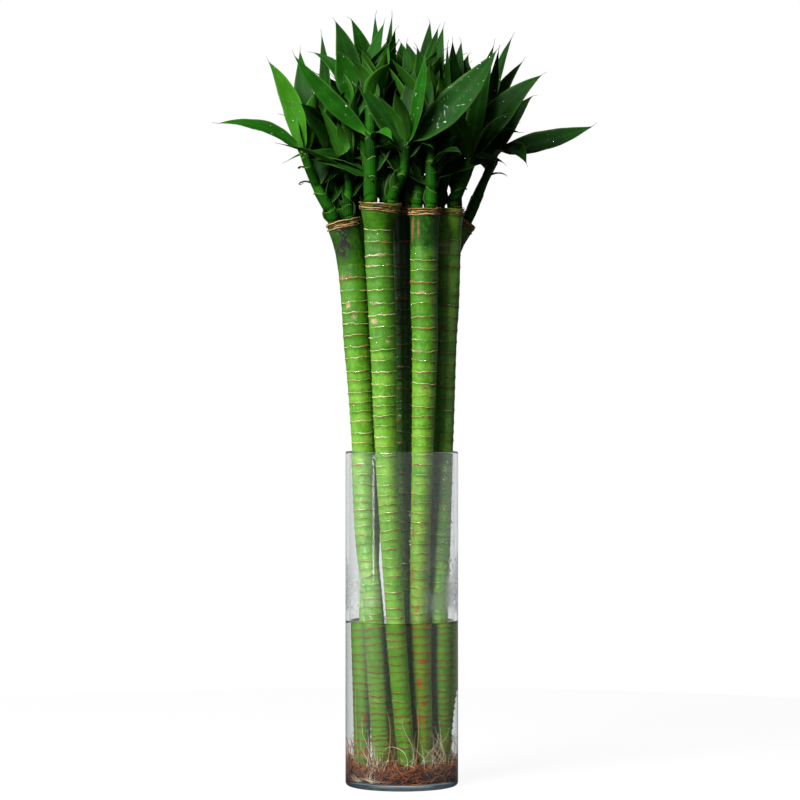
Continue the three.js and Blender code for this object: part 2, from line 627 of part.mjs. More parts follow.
// One leafy shoot: a stem that rises from its seat on a cane's top to its crown, and its leaves
class Shoot {
  constructor(name, { cane, seat, radius, stem, leaves = [], fan = 0, skirt = 0 }, canes, draws) {
    this.name = name;
    this.radius = radius;
    const end = canes[cane].route.frame(canes[cane].length + GAP);
    this.seat = end.origin.addScaledVector(end.right, seat[0]).addScaledVector(end.back, seat[1]);
    const start = this.seat.clone().addScaledVector(end.along, STEM_START);
    this.route = new Route([this.seat, start, ...stem.map(seen)]);
    this.crown = this.route.frame(this.route.length).origin;
    this.measured = leaves.map((leaf, i) => this.measuredLeaf(leaf, i));
    this.drawn = [];
    for (let i = 0; i < fan; i += 1) {
      this.drawn.push(this.fanLeaf(i, fan, leaves.length, draws));
    }
    for (let i = 0; i < skirt; i += 1) {
      this.drawn.push(this.skirtLeaf(i, skirt, draws));
    }
    this.blades = [];
    this.outerBlades = [];
  }

  stemRadius(share) {
    return this.radius * (1 - (1 - STEM_TIP_SHARE) * share ** 1.5);
  }

  // A leaf's root lies inside the stem, towards the side that the leaf leaves it on
  rootAt(share, tip) {
    const { origin } = this.route.frame(this.route.length * share - ROOT_DEPTH);
    const out = tip.clone().sub(origin);
    out.z = 0;
    return origin.addScaledVector(out.normalize(), ROOT_OFFSET * this.stemRadius(share));
  }

  measuredLeaf({ tip, width, bow, face, from = 1 }, i) {
    const end = seen(tip);
    const root = this.rootAt(from - ROOT_SPACING * i, end);
    const swing = vector([0, 1, 0]);
    return { root, tip: end, width, bow, face: vector(face), swing, stations: BLADE_STATIONS };
  }

  // Fan leaves spread to both sides of the way that the crown leans out from the vase's axis
  fanLeaf(i, count, before, draws) {
    const out = THREE.MathUtils.radToDeg(Math.atan2(this.crown.y, this.crown.x));
    const heading = out + FAN_SPREAD * (i - (count - 1) / 2);
    const from = 1 - ROOT_SPACING * (before + i);
    return this.drawnLeaf(heading, FAN_RISES[i % FAN_RISES.length], FAN_LENGTH, from, draws);
  }

  // Skirt leaves leave the stem lower down and spread all round it
  skirtLeaf(i, count, draws) {
    const heading = (360 * (i + draws.next())) / count;
    const from = SKIRT_ROOTS[i % SKIRT_ROOTS.length];
    return this.drawnLeaf(heading, SKIRT_RISES[i % SKIRT_RISES.length], SKIRT_LENGTH, from, draws);
  }

  drawnLeaf(heading, rise, length, from, draws) {
    const turn = THREE.MathUtils.degToRad(heading + draws.around(DRAWN_TURN));
    const slope = THREE.MathUtils.degToRad(rise + draws.around(DRAWN_SLOPE));
    const reach = length * draws.between(DRAWN_LENGTHS);
    const flat = vector([Math.cos(turn), Math.sin(turn), 0]);
    const root = this.rootAt(from, this.crown.clone().addScaledVector(flat, reach));
    const tip = root.clone().addScaledVector(flat, reach * Math.cos(slope));
    tip.z += reach * Math.sin(slope);
    return {
      root,
      tip: insideDome(tip),
      drawn: true,
      width: DRAWN_WIDTH * draws.between(DRAWN_WIDTHS),
      bow: draws.between(DRAWN_BOWS),
      face: new THREE.Vector3(-DRAWN_FACE * flat.x, -DRAWN_FACE * flat.y, 1),
      swing: vector([-flat.y, flat.x, 0]),
      stations: FAN_STATIONS,
    };
  }

  stemSolid(room = 0) {
    const pairs = [[0, 0], [this.radius + room, 0]];
    for (let i = 1; i <= STEM_SPANS; i += 1) {
      const share = i / STEM_SPANS;
      pairs.push([this.stemRadius(share) + room, this.route.length * share]);
    }
    pairs.push([0, this.route.length]);
    return toSolid(bendAlong(lathe(pairs, STEM_SIDES), this.route));
  }

  // Adds the leaves that find a clear place among the solids of the other nodes
  grow(leaves, others) {
    for (const leaf of leaves) {
      const tip = this.clearTip(leaf, others);
      if (tip) {
        this.blades.push(bladeSolid(leaf, tip));
        this.outerBlades.push(bladeSolid(leaf, tip, 0, OUTER_BLADE_FROM));
      }
    }
  }

  // A leaf swings aside, a little further at each try, then lifts, and grows shorter where nothing else
  // clears it
  clearTip(leaf, others) {
    for (const shrink of SHRINKS) {
      for (const lift of LIFTS) {
        for (let i = 0; i < SWING_TRIES; i += 1) {
          const steps = i % 2 ? (i + 1) / 2 : -i / 2;
          const tip = leaf.root.clone().lerp(leaf.tip, shrink);
          tip.addScaledVector(leaf.swing, steps * SWING_STEP);
          tip.z += lift;
          const end = leaf.drawn ? insideDome(tip, DOME_ROOM) : tip;
          if (this.isClear(leaf, end, others)) {
            return end;
          }
        }
      }
    }
    return null;
  }

  isClear(leaf, tip, others) {
    const whole = bladeSolid(leaf, tip, GAP);
    const end = bladeSolid(leaf, tip, GAP, OUTER_BLADE_FROM);
    const crosses = others.some((other) => overlaps(whole, other))
      || this.outerBlades.some((other) => overlaps(end, other));
    whole.delete();
    end.delete();
    return !crosses;
  }

  solid() {
    return wasm.Manifold.union([this.stemSolid(), ...this.blades]);
  }
}

const part = new THREE.Group();

function addNode(name, solid, finish) {
  const mesh = new THREE.Mesh(toGeometry(solid), new THREE.MeshStandardMaterial(finish));
  mesh.name = name;
  part.add(mesh);
  return mesh;
}

const canes = {};
for (const [name, description] of Object.entries(CANES)) {
  canes[name] = new Cane(name, description);
}
const caneList = Object.values(canes);
const caneSolids = caneList.map((cane) => cane.solid());
const collarSolids = caneList.map((cane) => cane.collarSolid());
const holes = caneList.map((cane) => cane.hole());
const strands = placeStrands(holes);

const vase = vaseSolid();
addNode("vase", vase, COLOURS.glass);

const waterRadius = BORE_RADIUS - GAP;
const waterFloor = MAT_HEIGHT + MAT_PEAK * MAT_BUMP + GAP;
const column = toSolid(upright(lathe([
  [0, waterFloor], [waterRadius, waterFloor], [waterRadius, WATER_LEVEL], [0, WATER_LEVEL],
], GLASS_SIDES)));
const water = wasm.Manifold.difference([column, ...holes, ...strands.map((strand) => strand.hole)]);
addNode("water", water, COLOURS.water);

const mat = wasm.Manifold.difference([matSolid(), ...holes]);
const roots = wasm.Manifold.union([mat, ...strands.map((strand) => strand.body)]);
addNode("root_mat", roots, COLOURS.roots);

caneList.forEach((cane, i) => {
  addNode(`cane_${cane.name}`, caneSolids[i], COLOURS.cane);
  addNode(`collar_${cane.name}`, collarSolids[i], COLOURS.collar);
});

const draws = new Draws(LEAF_SEED);
const shoots = [];
for (const [name, description] of Object.entries(SHOOTS)) {
  shoots.push(new Shoot(name, description, canes, draws));
}
const stems = shoots.map((shoot) => shoot.stemSolid(GAP));

// What a shoot's leaves have to clear: all that stands already and isn't the shoot's own
function othersOf(shoot) {
  const rest = shoots.filter((other) => other !== shoot);
  const restStems = stems.filter((_, i) => shoots[i] !== shoot);
  return [vase, ...caneSolids, ...collarSolids, ...restStems, ...rest.flatMap((other) => other.blades)];
}

// The measured leaves take their places first. Then the fans and skirts fill in between them, one leaf
// from each shoot in turn, so that neighbours share the room.
shoots.forEach((shoot) => shoot.grow(shoot.measured, othersOf(shoot)));
const rounds = Math.max(...shoots.map((shoot) => shoot.drawn.length));
for (let round = 0; round < rounds; round += 1) {
  shoots.forEach((shoot) => shoot.grow(shoot.drawn.slice(round, round + 1), othersOf(shoot)));
}
shoots.forEach((shoot) => addNode(`shoot_${shoot.name}`, shoot.solid(), COLOURS.leaf));

export default part;
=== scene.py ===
"""Lucky bamboo in its glass vase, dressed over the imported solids.

Eight ring-scarred canes stand in the water of a straight glass cylinder, on a mat of roots. Leafy shoots
with clasping sheaths grow from their cut tops. Lengths are millimetres up to the moment a mesh is made.
"""

import logging
import math
from dataclasses import dataclass, field
from enum import Enum
from functools import partial
from typing import Any

import bpy
import numpy as np
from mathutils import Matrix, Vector
from mathutils.kdtree import KDTree


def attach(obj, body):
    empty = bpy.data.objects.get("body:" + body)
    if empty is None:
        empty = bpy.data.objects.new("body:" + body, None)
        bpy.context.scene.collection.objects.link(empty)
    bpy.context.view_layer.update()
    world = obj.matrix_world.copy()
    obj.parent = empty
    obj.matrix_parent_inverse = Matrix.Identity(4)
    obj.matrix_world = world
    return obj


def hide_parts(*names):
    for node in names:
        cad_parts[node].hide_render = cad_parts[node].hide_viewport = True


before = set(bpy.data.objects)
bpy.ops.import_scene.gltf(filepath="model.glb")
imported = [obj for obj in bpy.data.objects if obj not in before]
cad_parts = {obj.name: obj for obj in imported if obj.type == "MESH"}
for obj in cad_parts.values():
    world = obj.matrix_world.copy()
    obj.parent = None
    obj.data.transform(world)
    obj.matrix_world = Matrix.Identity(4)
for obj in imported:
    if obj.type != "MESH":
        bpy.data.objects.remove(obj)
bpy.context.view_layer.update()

log = logging.getLogger("lucky_bamboo")

MILLIMETRE = 0.001
TURN = 2 * math.pi
BODY = "root"
WORD = 2**32 - 1

# Vase and water, as in the solids
VASE_RADIUS = 50.0
VASE_HEIGHT = 296.0
VASE_WALL = 3.0
VASE_FLOOR = 5.0
BORE_RADIUS = VASE_RADIUS - VASE_WALL
NEAR_AXIS = 0.01
WATER_LEVEL = 145.0
GAP = 0.3

# Canes, as in the solids: radius at heights along a cane, which each cane scales by its girth
TAPER_HEIGHTS = (0, 145, 296, 400, 480, 540)
TAPER_RADII = (6.6, 8.1, 9.7, 11.8, 12.7, 12.9)
FLARE_LENGTH = 24.0
COLLAR_DEPTH = 6.5

# Root mat and its strands, as in the solids
MAT_HEIGHT = 21.0
MAT_BUMP = 2.4
MAT_WAVE = 0.2
STRAND_COUNT = 9
STRAND_RADIUS = 0.8
STRAND_THINNING = 0.1
STRAND_SPANS = 4
STRAND_HEIGHTS = (42, 92)
STRAND_WANDER = 0.25
STRAND_DEPTH = 8.0
STRAND_LEAN = 5.0
STRAND_INSET = 2.6
STRAND_STEP = 0.07
STRAND_TRIES = 6
STRAND_SEED = 71

# Shoots and leaves, as in the solids
STEM_TIP_SHARE = 0.55
STEM_START = 8.0
ROOT_DEPTH = 1.5
ROOT_OFFSET = 0.45
ROOT_SPACING = 0.05
SOLID_THICKNESS = 0.8
BLADE_FOLD = math.radians(16)
BLADE_WIDEST = 0.42
DRESSED_ROOT_SHARE = 0.32
BOW_PLACE = 0.3
BOW_SHARE = 1.3
LEAF_SEED = 2026
SWING_STEP = 6.0
SWING_TRIES = 21
LIFTS = (0, 12, -10, 24)
SHRINKS = (1, 0.86, 0.72)
FAN_RISES = (62, 30, 74, 44, 18, 54)
FAN_SPREAD = 46.0
FAN_LENGTH = 98.0
SKIRT_RISES = (24, 6, 38, 14)
SKIRT_ROOTS = (0.62, 0.5, 0.74)
SKIRT_LENGTH = 76.0
DRAWN_WIDTH = 21.0
DRAWN_TURN = 12.0
DRAWN_SLOPE = 7.0
DRAWN_LENGTHS = (0.84, 1.12)
DRAWN_WIDTHS = (0.8, 1.15)
DRAWN_BOWS = (6, 13)
DRAWN_FACE = 0.4
DOME_CENTRE = np.array((-4.0, 12.0, 556.0))
DOME_RADII = np.array((100.0, 122.0, 116.0))
DOME_ROOM = 1.14

# Where the photograph's camera stands. A point measured in the front view is placed by it.
VIEW_DISTANCE = 2663.0
VIEW_HEIGHT = 341.5
VIEW_ACROSS = -1.6
LENS = 135.0
SENSOR = 36.0

# How bright the room looks through glass, where the open room behind the plant is white
PALE_ROOM = 0.85
WHITE = "#FFFFFF"

# The Mix node's sockets for colours: the first, the second and the mixed one
COLOURS = {"data_type": "RGBA"}
FIRST = 6
SECOND = 7
MIXED = 2

# What the rind reads at each point: corkiness, lightness, rust, bruises and stains
# Lightness and rust carry painted light and shade as well as the rind's own colour.
CANE_TRAITS = ("scar", "tone", "rust", "bruise", "stain")

# What the leaf skin reads at each point: lightness, place across, paleness, dryness and whether it is below
BLADE_TRAITS = ("tone", "across", "pale", "dry", "under")

# A leaf sheath's section from inside its edge round to its foot: place along it, lift, edge and lightness
# The lightness darkens the sheath's foot, where it tucks into the stem, as painted shade.
SHEATH_SECTION = (
    (0.1, -1.2, 0, 0),
    (0.5, 0.0, 0, 0),
    (1.0, 0.35, 0.4, 0.1),
    (1.0, 0.66, 0.4, 0.1),
    (0.97, 0.7, 0, 0),
    (0.85, 0.6, 0, 0),
    (0.4, 0.1, 0, 0.08),
    (0.0, -0.9, 0, -0.12),
)

# Seeds of the unevenness that only the dressed plant has
MAT_SEED = 4711
DEW_SEED = 909
CANE_SEED = 97
COLLAR_SEED = 131
YOUNG_SEED = 211
SHOOT_SEED = 53


class Face(Enum):
    """The way that a measured leaf's upper face looks."""

    UP = (0, 0, 1)
    FRONT = (-0.15, -0.9, 0.4)
    FRONT_UP = (-0.1, -0.6, 0.8)
    FRONT_LEFT = (-0.6, -0.7, 0.4)
    FRONT_RIGHT = (0.6, -0.7, 0.4)


class Slot(Enum):
    """The record's material slots."""

    GLASS = "clear_glass"
    WATER = "water"
    ROOTS = "roots"
    CANE = "cane"
    DRY = "dry_sheath"
    LEAF = "leaf"


class Draws:
    """The seeded generator that the solids use too, so that every run draws the same numbers."""

    def __init__(self, seed: int) -> None:
        """Starts the row of numbers at a seed."""
        self.state = seed

    def next(self) -> float:
        """Moves on by one number.

        Returns:
            A number from 0 up to 1.
        """
        self.state = (self.state + 0x6D2B79F5) & WORD
        mixed = self.state
        mixed = ((mixed ^ (mixed >> 15)) * (mixed | 1)) & WORD
        mixed ^= (mixed + (((mixed ^ (mixed >> 7)) * (mixed | 61)) & WORD)) & WORD
        return ((mixed ^ (mixed >> 14)) & WORD) / 2**32

    def between(self, low: float, high: float) -> float:
        """Returns a number between two limits."""
        return low + (high - low) * self.next()

    def around(self, reach: float) -> float:
        """Returns a number up to reach either side of zero."""
        return self.between(-reach, reach)


def unit(vectors: np.ndarray) -> np.ndarray:
    """Returns a vector, or each row of vectors, scaled to length one."""
    return vectors / np.linalg.norm(vectors, axis=-1, keepdims=True)


def smooth(low: float, high: float, at: Any) -> Any:
    """Returns for a number, or for each of an array, a share that eases from 0 at low to 1 at high."""
    share = np.clip((np.asarray(at, float) - low) / (high - low), 0, 1)
    return share * share * (3 - 2 * share)


def seen(across: float, height: float, depth: float) -> np.ndarray:
    """Moves a point measured in the front view, in the plane of the vase's axis, to its depth behind it."""
    growth = 1 + depth / VIEW_DISTANCE
    return np.array((across * growth, depth, VIEW_HEIGHT + (height - VIEW_HEIGHT) * growth))


class Route:
    """A smooth centre line through points, with a steady frame at any distance along it."""

    DIVISIONS = 200
    NUDGE = 0.0001

    def __init__(self, points: Any) -> None:
        """Measures the line through the points."""
        spots = np.array(points, float)
        self.spots = np.vstack([2 * spots[0] - spots[1], spots, 2 * spots[-1] - spots[-2]])
        self.spans = len(spots) - 1
        self.shares = np.linspace(0, 1, self.DIVISIONS + 1)
        steps = np.linalg.norm(np.diff(self.at(self.shares), axis=0), axis=1)
        self.lengths = np.concatenate([[0], np.cumsum(steps)])
        self.length = float(self.lengths[-1])

    def at(self, shares: np.ndarray) -> np.ndarray:
        """Finds points of the line.

        Args:
            shares: Places from 0 to 1, counted in spans and not in length.

        Returns:
            One point for each.
        """
        place = np.asarray(shares, float) * self.spans
        first = np.minimum(np.floor(place).astype(int), self.spans - 1)
        weight = (place - first)[:, None]
        before, start, end, after = (self.spots[first + i] for i in range(4))
        leave = 0.5 * (end - before)
        arrive = 0.5 * (after - start)
        square = -3 * start + 3 * end - 2 * leave - arrive
        cube = 2 * start - 2 * end + leave + arrive
        return start + weight * (leave + weight * (square + weight * cube))

    def frames(self, distances: Any) -> tuple[np.ndarray, np.ndarray, np.ndarray, np.ndarray]:
        """Finds the line's frame at distances, which may run straight on past either end.

        Args:
            distances: Distances along the line.

        Returns:
            For each distance its origin and the directions along, right and back.
        """
        wanted = np.atleast_1d(np.asarray(distances, float))
        held = np.clip(wanted, 0, self.length)
        share = np.interp(held, self.lengths, self.shares)
        ahead = self.at(np.minimum(share + self.NUDGE, 1))
        along = unit(ahead - self.at(np.maximum(share - self.NUDGE, 0)))
        origin = self.at(share) + along * (wanted - held)[:, None]
        right = unit(np.array((1.0, 0, 0)) - along * along[:, :1])
        return origin, along, right, np.cross(along, right)

    def frame(self, distance: float) -> tuple[np.ndarray, np.ndarray, np.ndarray, np.ndarray]:
        """Returns the line's frame at one distance."""
        return tuple(rows[0] for rows in self.frames(distance))

    def origin(self, distance: float) -> np.ndarray:
        """Returns the line's point at one distance."""
        return self.frame(distance)[0]


class Surface:
    """Gathers the closed forms of one piece, in millimetres, with a few numbers for each point.

    The low lamp grazes round forms, and the offset keeps their flat faces from showing in it.
    """

    LOW_LIGHT = 0.3

    def __init__(self, *traits: str) -> None:
        """Starts an empty surface.

        Args:
            *traits: The names of the numbers that each of its points carries.
        """
        self.points: list[np.ndarray] = []
        self.quads: list[np.ndarray] = []
        self.fans: list[np.ndarray] = []
        self.quad_finish: list[np.ndarray] = []
        self.fan_finish: list[np.ndarray] = []
        self.traits: dict[str, list[np.ndarray]] = {name: [] for name in traits}
        self.count = 0

    def add(self, grid: np.ndarray, closed: bool = False, finish: Any = 0, **traits: Any) -> None:
        """Adds a form whose section is a ring of points: a tube with closed ends, or a whole ring.

        Args:
            grid: Points by row along the form and by column round its section.
            closed: Whether the last row joins the first, as in a ring.
            finish: Which of the piece's finishes the form has, or one number for each of its faces.
            **traits: For each trait a number, or one number for each point of the grid.
        """
        rows, columns = grid.shape[:2]
        numbers = np.arange(rows * columns).reshape(rows, columns) + self.count
        following = np.roll(numbers, -1, axis=1)
        upper, upper_following = (np.roll(lower, -1, axis=0) for lower in (numbers, following))
        spans = rows if closed else rows - 1
        quads = np.stack([numbers, following, upper_following, upper], axis=-1)[:spans].reshape(-1, 4)
        finishes = np.broadcast_to(np.asarray(finish), (spans, columns))
        ends = () if closed else (0, -1)
        if ends:
            first = self.count + rows * columns
            starts, lids = np.full(columns, first), np.full(columns, first + 1)
            self.fans.append(np.stack([starts, following[0], numbers[0]], axis=-1))
            self.fans.append(np.stack([lids, numbers[-1], following[-1]], axis=-1))
            self.fan_finish.append(np.concatenate([finishes[0], finishes[-1]]))
        self.points.append(np.vstack([grid.reshape(-1, 3)] + [grid[end].mean(axis=0) for end in ends]))
        self.quads.append(quads)
        self.quad_finish.append(finishes.reshape(-1))
        for name, rows_of in self.traits.items():
            spread = np.broadcast_to(np.asarray(traits[name], float), (rows, columns))
            rows_of.append(np.append(spread.reshape(-1), [spread[end].mean() for end in ends]))
        self.count += rows * columns + len(ends)

    def piece(self, name: str, slot: Slot, replaced: str, *finishes: bpy.types.Material) -> None:
        """Makes the object, dresses it and lets it ride on the plant's one body.

        Args:
            name: The piece's name.
            slot: The record's slot that its finish belongs to; not used.
            replaced: The node of the solids that it stands for, or an empty name.
            *finishes: Its materials, in the order that its forms count them.
        """
        quads = np.vstack(self.quads)
        fans = np.vstack(self.fans) if self.fans else np.zeros((0, 3), int)
        points = np.vstack(self.points) * MILLIMETRE
        mesh = bpy.data.meshes.new(name)
        mesh.vertices.add(len(points))
        mesh.vertices.foreach_set("co", points.astype(np.float32).ravel())
        corners = np.concatenate([quads.ravel(), fans.ravel()]).astype(np.int32)
        mesh.loops.add(len(corners))
        mesh.loops.foreach_set("vertex_index", corners)
        sizes = np.concatenate([np.full(len(quads), 4), np.full(len(fans), 3)])
        starts = np.concatenate([[0], np.cumsum(sizes)[:-1]])
        mesh.polygons.add(len(sizes))
        mesh.polygons.foreach_set("loop_start", starts.astype(np.int32))
        finish = np.concatenate(self.quad_finish + self.fan_finish).astype(np.int32)
        mesh.polygons.foreach_set("material_index", finish)
        mesh.update(calc_edges=True)
        mesh.shade_smooth()
        for trait, values in self.traits.items():
            attribute = mesh.attributes.new(trait, "FLOAT", "POINT")
            attribute.data.foreach_set("value", np.concatenate(values).astype(np.float32))
        for material in finishes:
            mesh.materials.append(material)
        made = bpy.data.objects.new(name, mesh)
        made.cycles.shadow_terminator_geometry_offset = self.LOW_LIGHT
        bpy.context.scene.collection.objects.link(made)
        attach(made, BODY)
        if replaced:
            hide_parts(replaced)
        log.info("%s: %d faces", name, len(sizes))


def spaced_turns(sides: int) -> np.ndarray:
    """Returns evenly spaced angles, from zero once round."""
    return np.arange(sides) * TURN / sides


def ripple(turns: np.ndarray, terms: tuple, phases: list[float]) -> np.ndarray:
    """Returns a sum of waves, each given as its size, how often it runs round and the number of its phase."""
    return sum(size * np.sin(rate * turns + phases[number]) for size, rate, number in terms)


def ring_points(route: Route, distances: np.ndarray, radii: np.ndarray, turns: np.ndarray) -> np.ndarray:
    """Places points round a route.

    Args:
        route: The centre line.
        distances: Distance along it of each point, by row and column.
        radii: Distance from it of each point, by row and column.
        turns: Angle of each column round it.

    Returns:
        The points, by row and column.
    """
    shape = distances.shape
    origin, _, right, back = route.frames(distances.ravel())
    angle = np.broadcast_to(turns, shape).ravel()[:, None]
    radius = radii.ravel()[:, None]
    return (origin + radius * (right * np.cos(angle) + back * np.sin(angle))).reshape(*shape, 3)


def tube(route: Route, radii: Any, rows: int, sides: int) -> np.ndarray:
    """Makes a plain tube along a route.

    Args:
        route: The centre line.
        radii: Radii evenly spaced along it, as many as wanted.
        rows: How many rings of points to place.
        sides: How many points each ring has.

    Returns:
        The points, by row and column.
    """
    shares = np.linspace(0, 1, rows)
    radius = np.interp(shares, np.linspace(0, 1, len(radii)), radii)
    distances, radius = (np.repeat(row[:, None], sides, axis=1) for row in (shares * route.length, radius))
    return ring_points(route, distances, radius, spaced_turns(sides))


def turned(profile: list[tuple[float, float]], sides: int) -> np.ndarray:
    """Returns rings of points: a profile of radii and heights, turned about the upright axis."""
    (radii, heights), turns = np.array(profile, float).T[..., None], spaced_turns(sides)
    return np.stack(np.broadcast_arrays(radii * np.cos(turns), radii * np.sin(turns), heights), axis=-1)


def rounded(middle: tuple[float, float], radius: float, start: float, end: float, steps: int) -> list:
    """Returns a profile's round corner about a middle, from one angle in degrees to another."""
    angles = np.radians(np.linspace(start, end, steps + 1))
    return [(middle[0] + radius * math.cos(a), middle[1] + radius * math.sin(a)) for a in angles]


def name_number(name: str) -> int:
    """Returns a number for a piece's name, which seeds its draws."""
    return sum(map(ord, name))


def corner_tree(name: str) -> KDTree:
    """Sorts a solid's corners by place, in millimetres, so that the nearest one is found quickly.

    Args:
        name: The solid's name.

    Returns:
        The sorted corners.
    """
    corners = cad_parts[name].data.vertices
    tree = KDTree(len(corners))
    for number, corner in enumerate(corners):
        tree.insert(corner.co / MILLIMETRE, number)
    tree.balance()
    return tree


def linear(code: str) -> tuple[float, ...]:
    """Returns the linear red, green and blue of an sRGB hex colour such as "#3F9A1E", and a full alpha."""
    parts = [int(code[i : i + 2], 16) / 255 for i in (1, 3, 5)]
    return *(p / 12.92 if p <= 0.04045 else ((p + 0.055) / 1.055) ** 2.4 for p in parts), 1.0


def per_metre(size: float) -> float:
    """Returns the pattern scale that gives features of a size in millimetres."""
    return 1 / (size * MILLIMETRE)


def add_node(
    tree: bpy.types.NodeTree, kind: str, inputs: dict | None = None, output: Any = 0, **settings: Any
) -> Any:
    """Adds a shader node with its settings and links.

    Args:
        tree: The tree that it goes into.
        kind: The node's type without its common beginning.
        inputs: For each input, by name or number, a value, a hex colour or the output that feeds it.
        output: The output that is wanted, by name or number.
        **settings: Values for the node's own properties.

    Returns:
        The wanted output, or nothing for the node that a tree ends with.
    """
    node = tree.nodes.new("ShaderNode" + kind)
    for name, value in settings.items():
        setattr(node, name, value)
    for name, value in (inputs or {}).items():
        if isinstance(value, bpy.types.NodeSocket):
            tree.links.new(value, node.inputs[name])
        else:
            node.inputs[name].default_value = linear(value) if isinstance(value, str) else value
    return node.outputs[output] if node.outputs else None


def seen_through(add: Any) -> bpy.types.NodeSocket:
    """Adds the test for what the eye sees through glass or water, with no leaf or cane on the way.

    Light that only turns inside the vase's wall, between two passes of its face, counts too.

    Args:
        add: The function that adds a node.

    Returns:
        One where that is so, else zero.
    """
    tests = []
    for output, limit in (("Diffuse Depth", 0.5), ("Glossy Depth", 0.5), ("Transmission Depth", 3.5)):
        depth = add("LightPath", output=output)
        tests.append(add("Math", {0: depth, 1: limit}, operation="LESS_THAN"))
    clean, straight, shallow = tests
    direct = add("Math", {0: straight, 1: shallow}, operation="MAXIMUM")
    direct = add("Math", {0: direct, 1: clean}, operation="MULTIPLY")
    bent = add("LightPath", output="Is Transmission Ray")
    return add("Math", {0: direct, 1: bent}, operation="MULTIPLY")


def new_material(label: str) -> tuple[bpy.types.Material, Any]:
    """Starts an empty material.

    Args:
        label: Its name.

    Returns:
        The material and the function that adds a node to it.
    """
    material = bpy.data.materials.new(label)
    material.use_nodes = True
    material.node_tree.nodes.clear()
    return material, partial(add_node, material.node_tree)


@dataclass(frozen=True)
class ClearMedium:
    """Pressed soda glass or still water: smooth from the mould or at rest, so it only bends and reflects.

    Where the glass is thick the eye looks through much of it, and its own blue grey shows. Fog is the film of
    droplets, each too small to see, that vapour leaves on the glass above the water.
    """

    label: str
    tint: str
    ior: float
    thick_tint: str = ""
    fog: float = 0.0
    fog_cloud: float = 30.0
    fog_clouds: tuple = (0.42, 0.6)
    fog_foot: tuple = (0.003, 0.015)
    fog_top: tuple = (0.075, 0.03)
    fog_aside: tuple = (0.012, 0.028)
    film: str = "#E8ECEA"
    film_share: float = 0.16
    glint: float = 0.0
    glint_roughness: float = 0.12

    def material(self) -> bpy.types.Material:
        """Mixes the finish. It lets lamps through, so that what stands inside is lit.

        Returns:
            The material.
        """
        material, add = new_material(self.label)
        colour = self.tint
        if self.thick_tint:
            thick = add("Attribute", output="Fac", attribute_name="thick")
            colour = add("Mix", {0: thick, FIRST: colour, SECOND: self.thick_tint}, MIXED, **COLOURS)
        rough = self.mist(add) if self.fog else 0.0
        inputs = {"Base Color": colour, "Roughness": rough, "IOR": self.ior, "Transmission Weight": 1.0}
        clear = add("BsdfPrincipled", inputs)
        if self.glint:
            shine = add("BsdfAnisotropic", {"Color": WHITE, "Roughness": self.glint_roughness})
            clear = add("MixShader", {0: self.glint, 1: clear, 2: shine})
        if self.fog:
            film = add("BsdfDiffuse", {"Color": self.film})
            share = add("Math", {0: rough, 1: self.film_share}, operation="MULTIPLY")
            clear = add("MixShader", {0: share, 1: clear, 2: film})
        shadow = add("LightPath", output="Is Shadow Ray")
        through = add("BsdfTransparent")
        add("OutputMaterial", {"Surface": add("MixShader", {0: shadow, 1: clear, 2: through})})
        return material

    def mist(self, add: Any) -> bpy.types.NodeSocket:
        """Fogs the sides in clouds, from just above the water to where the vapour thins out.

        Args:
            add: The function that adds a node.

        Returns:
            The roughness.
        """
        place = add("TexCoord", output="Object")
        height = add("SeparateXYZ", {0: place}, "Z")
        level = WATER_LEVEL * MILLIMETRE
        rough, top = (
            add("MapRange", {0: height, 1: level + none, 2: level + full})
            for none, full in (self.fog_foot, self.fog_top)
        )
        inputs = {"Vector": place, "Scale": per_metre(self.fog_cloud), "Detail": 3.0}
        clouds = add("TexNoise", inputs)
        none, full = self.fog_clouds
        clouds = add("MapRange", {0: clouds, 1: none, 2: full, 4: self.fog})
        aside = add("SeparateXYZ", {0: place}, "X")
        aside = add("Math", {0: aside}, operation="ABSOLUTE")
        none, full = self.fog_aside
        aside = add("MapRange", {0: aside, 1: none, 2: full})
        for share in (top, clouds, aside):
            rough = add("Math", {0: rough, 1: share}, operation="MULTIPLY")
        return rough


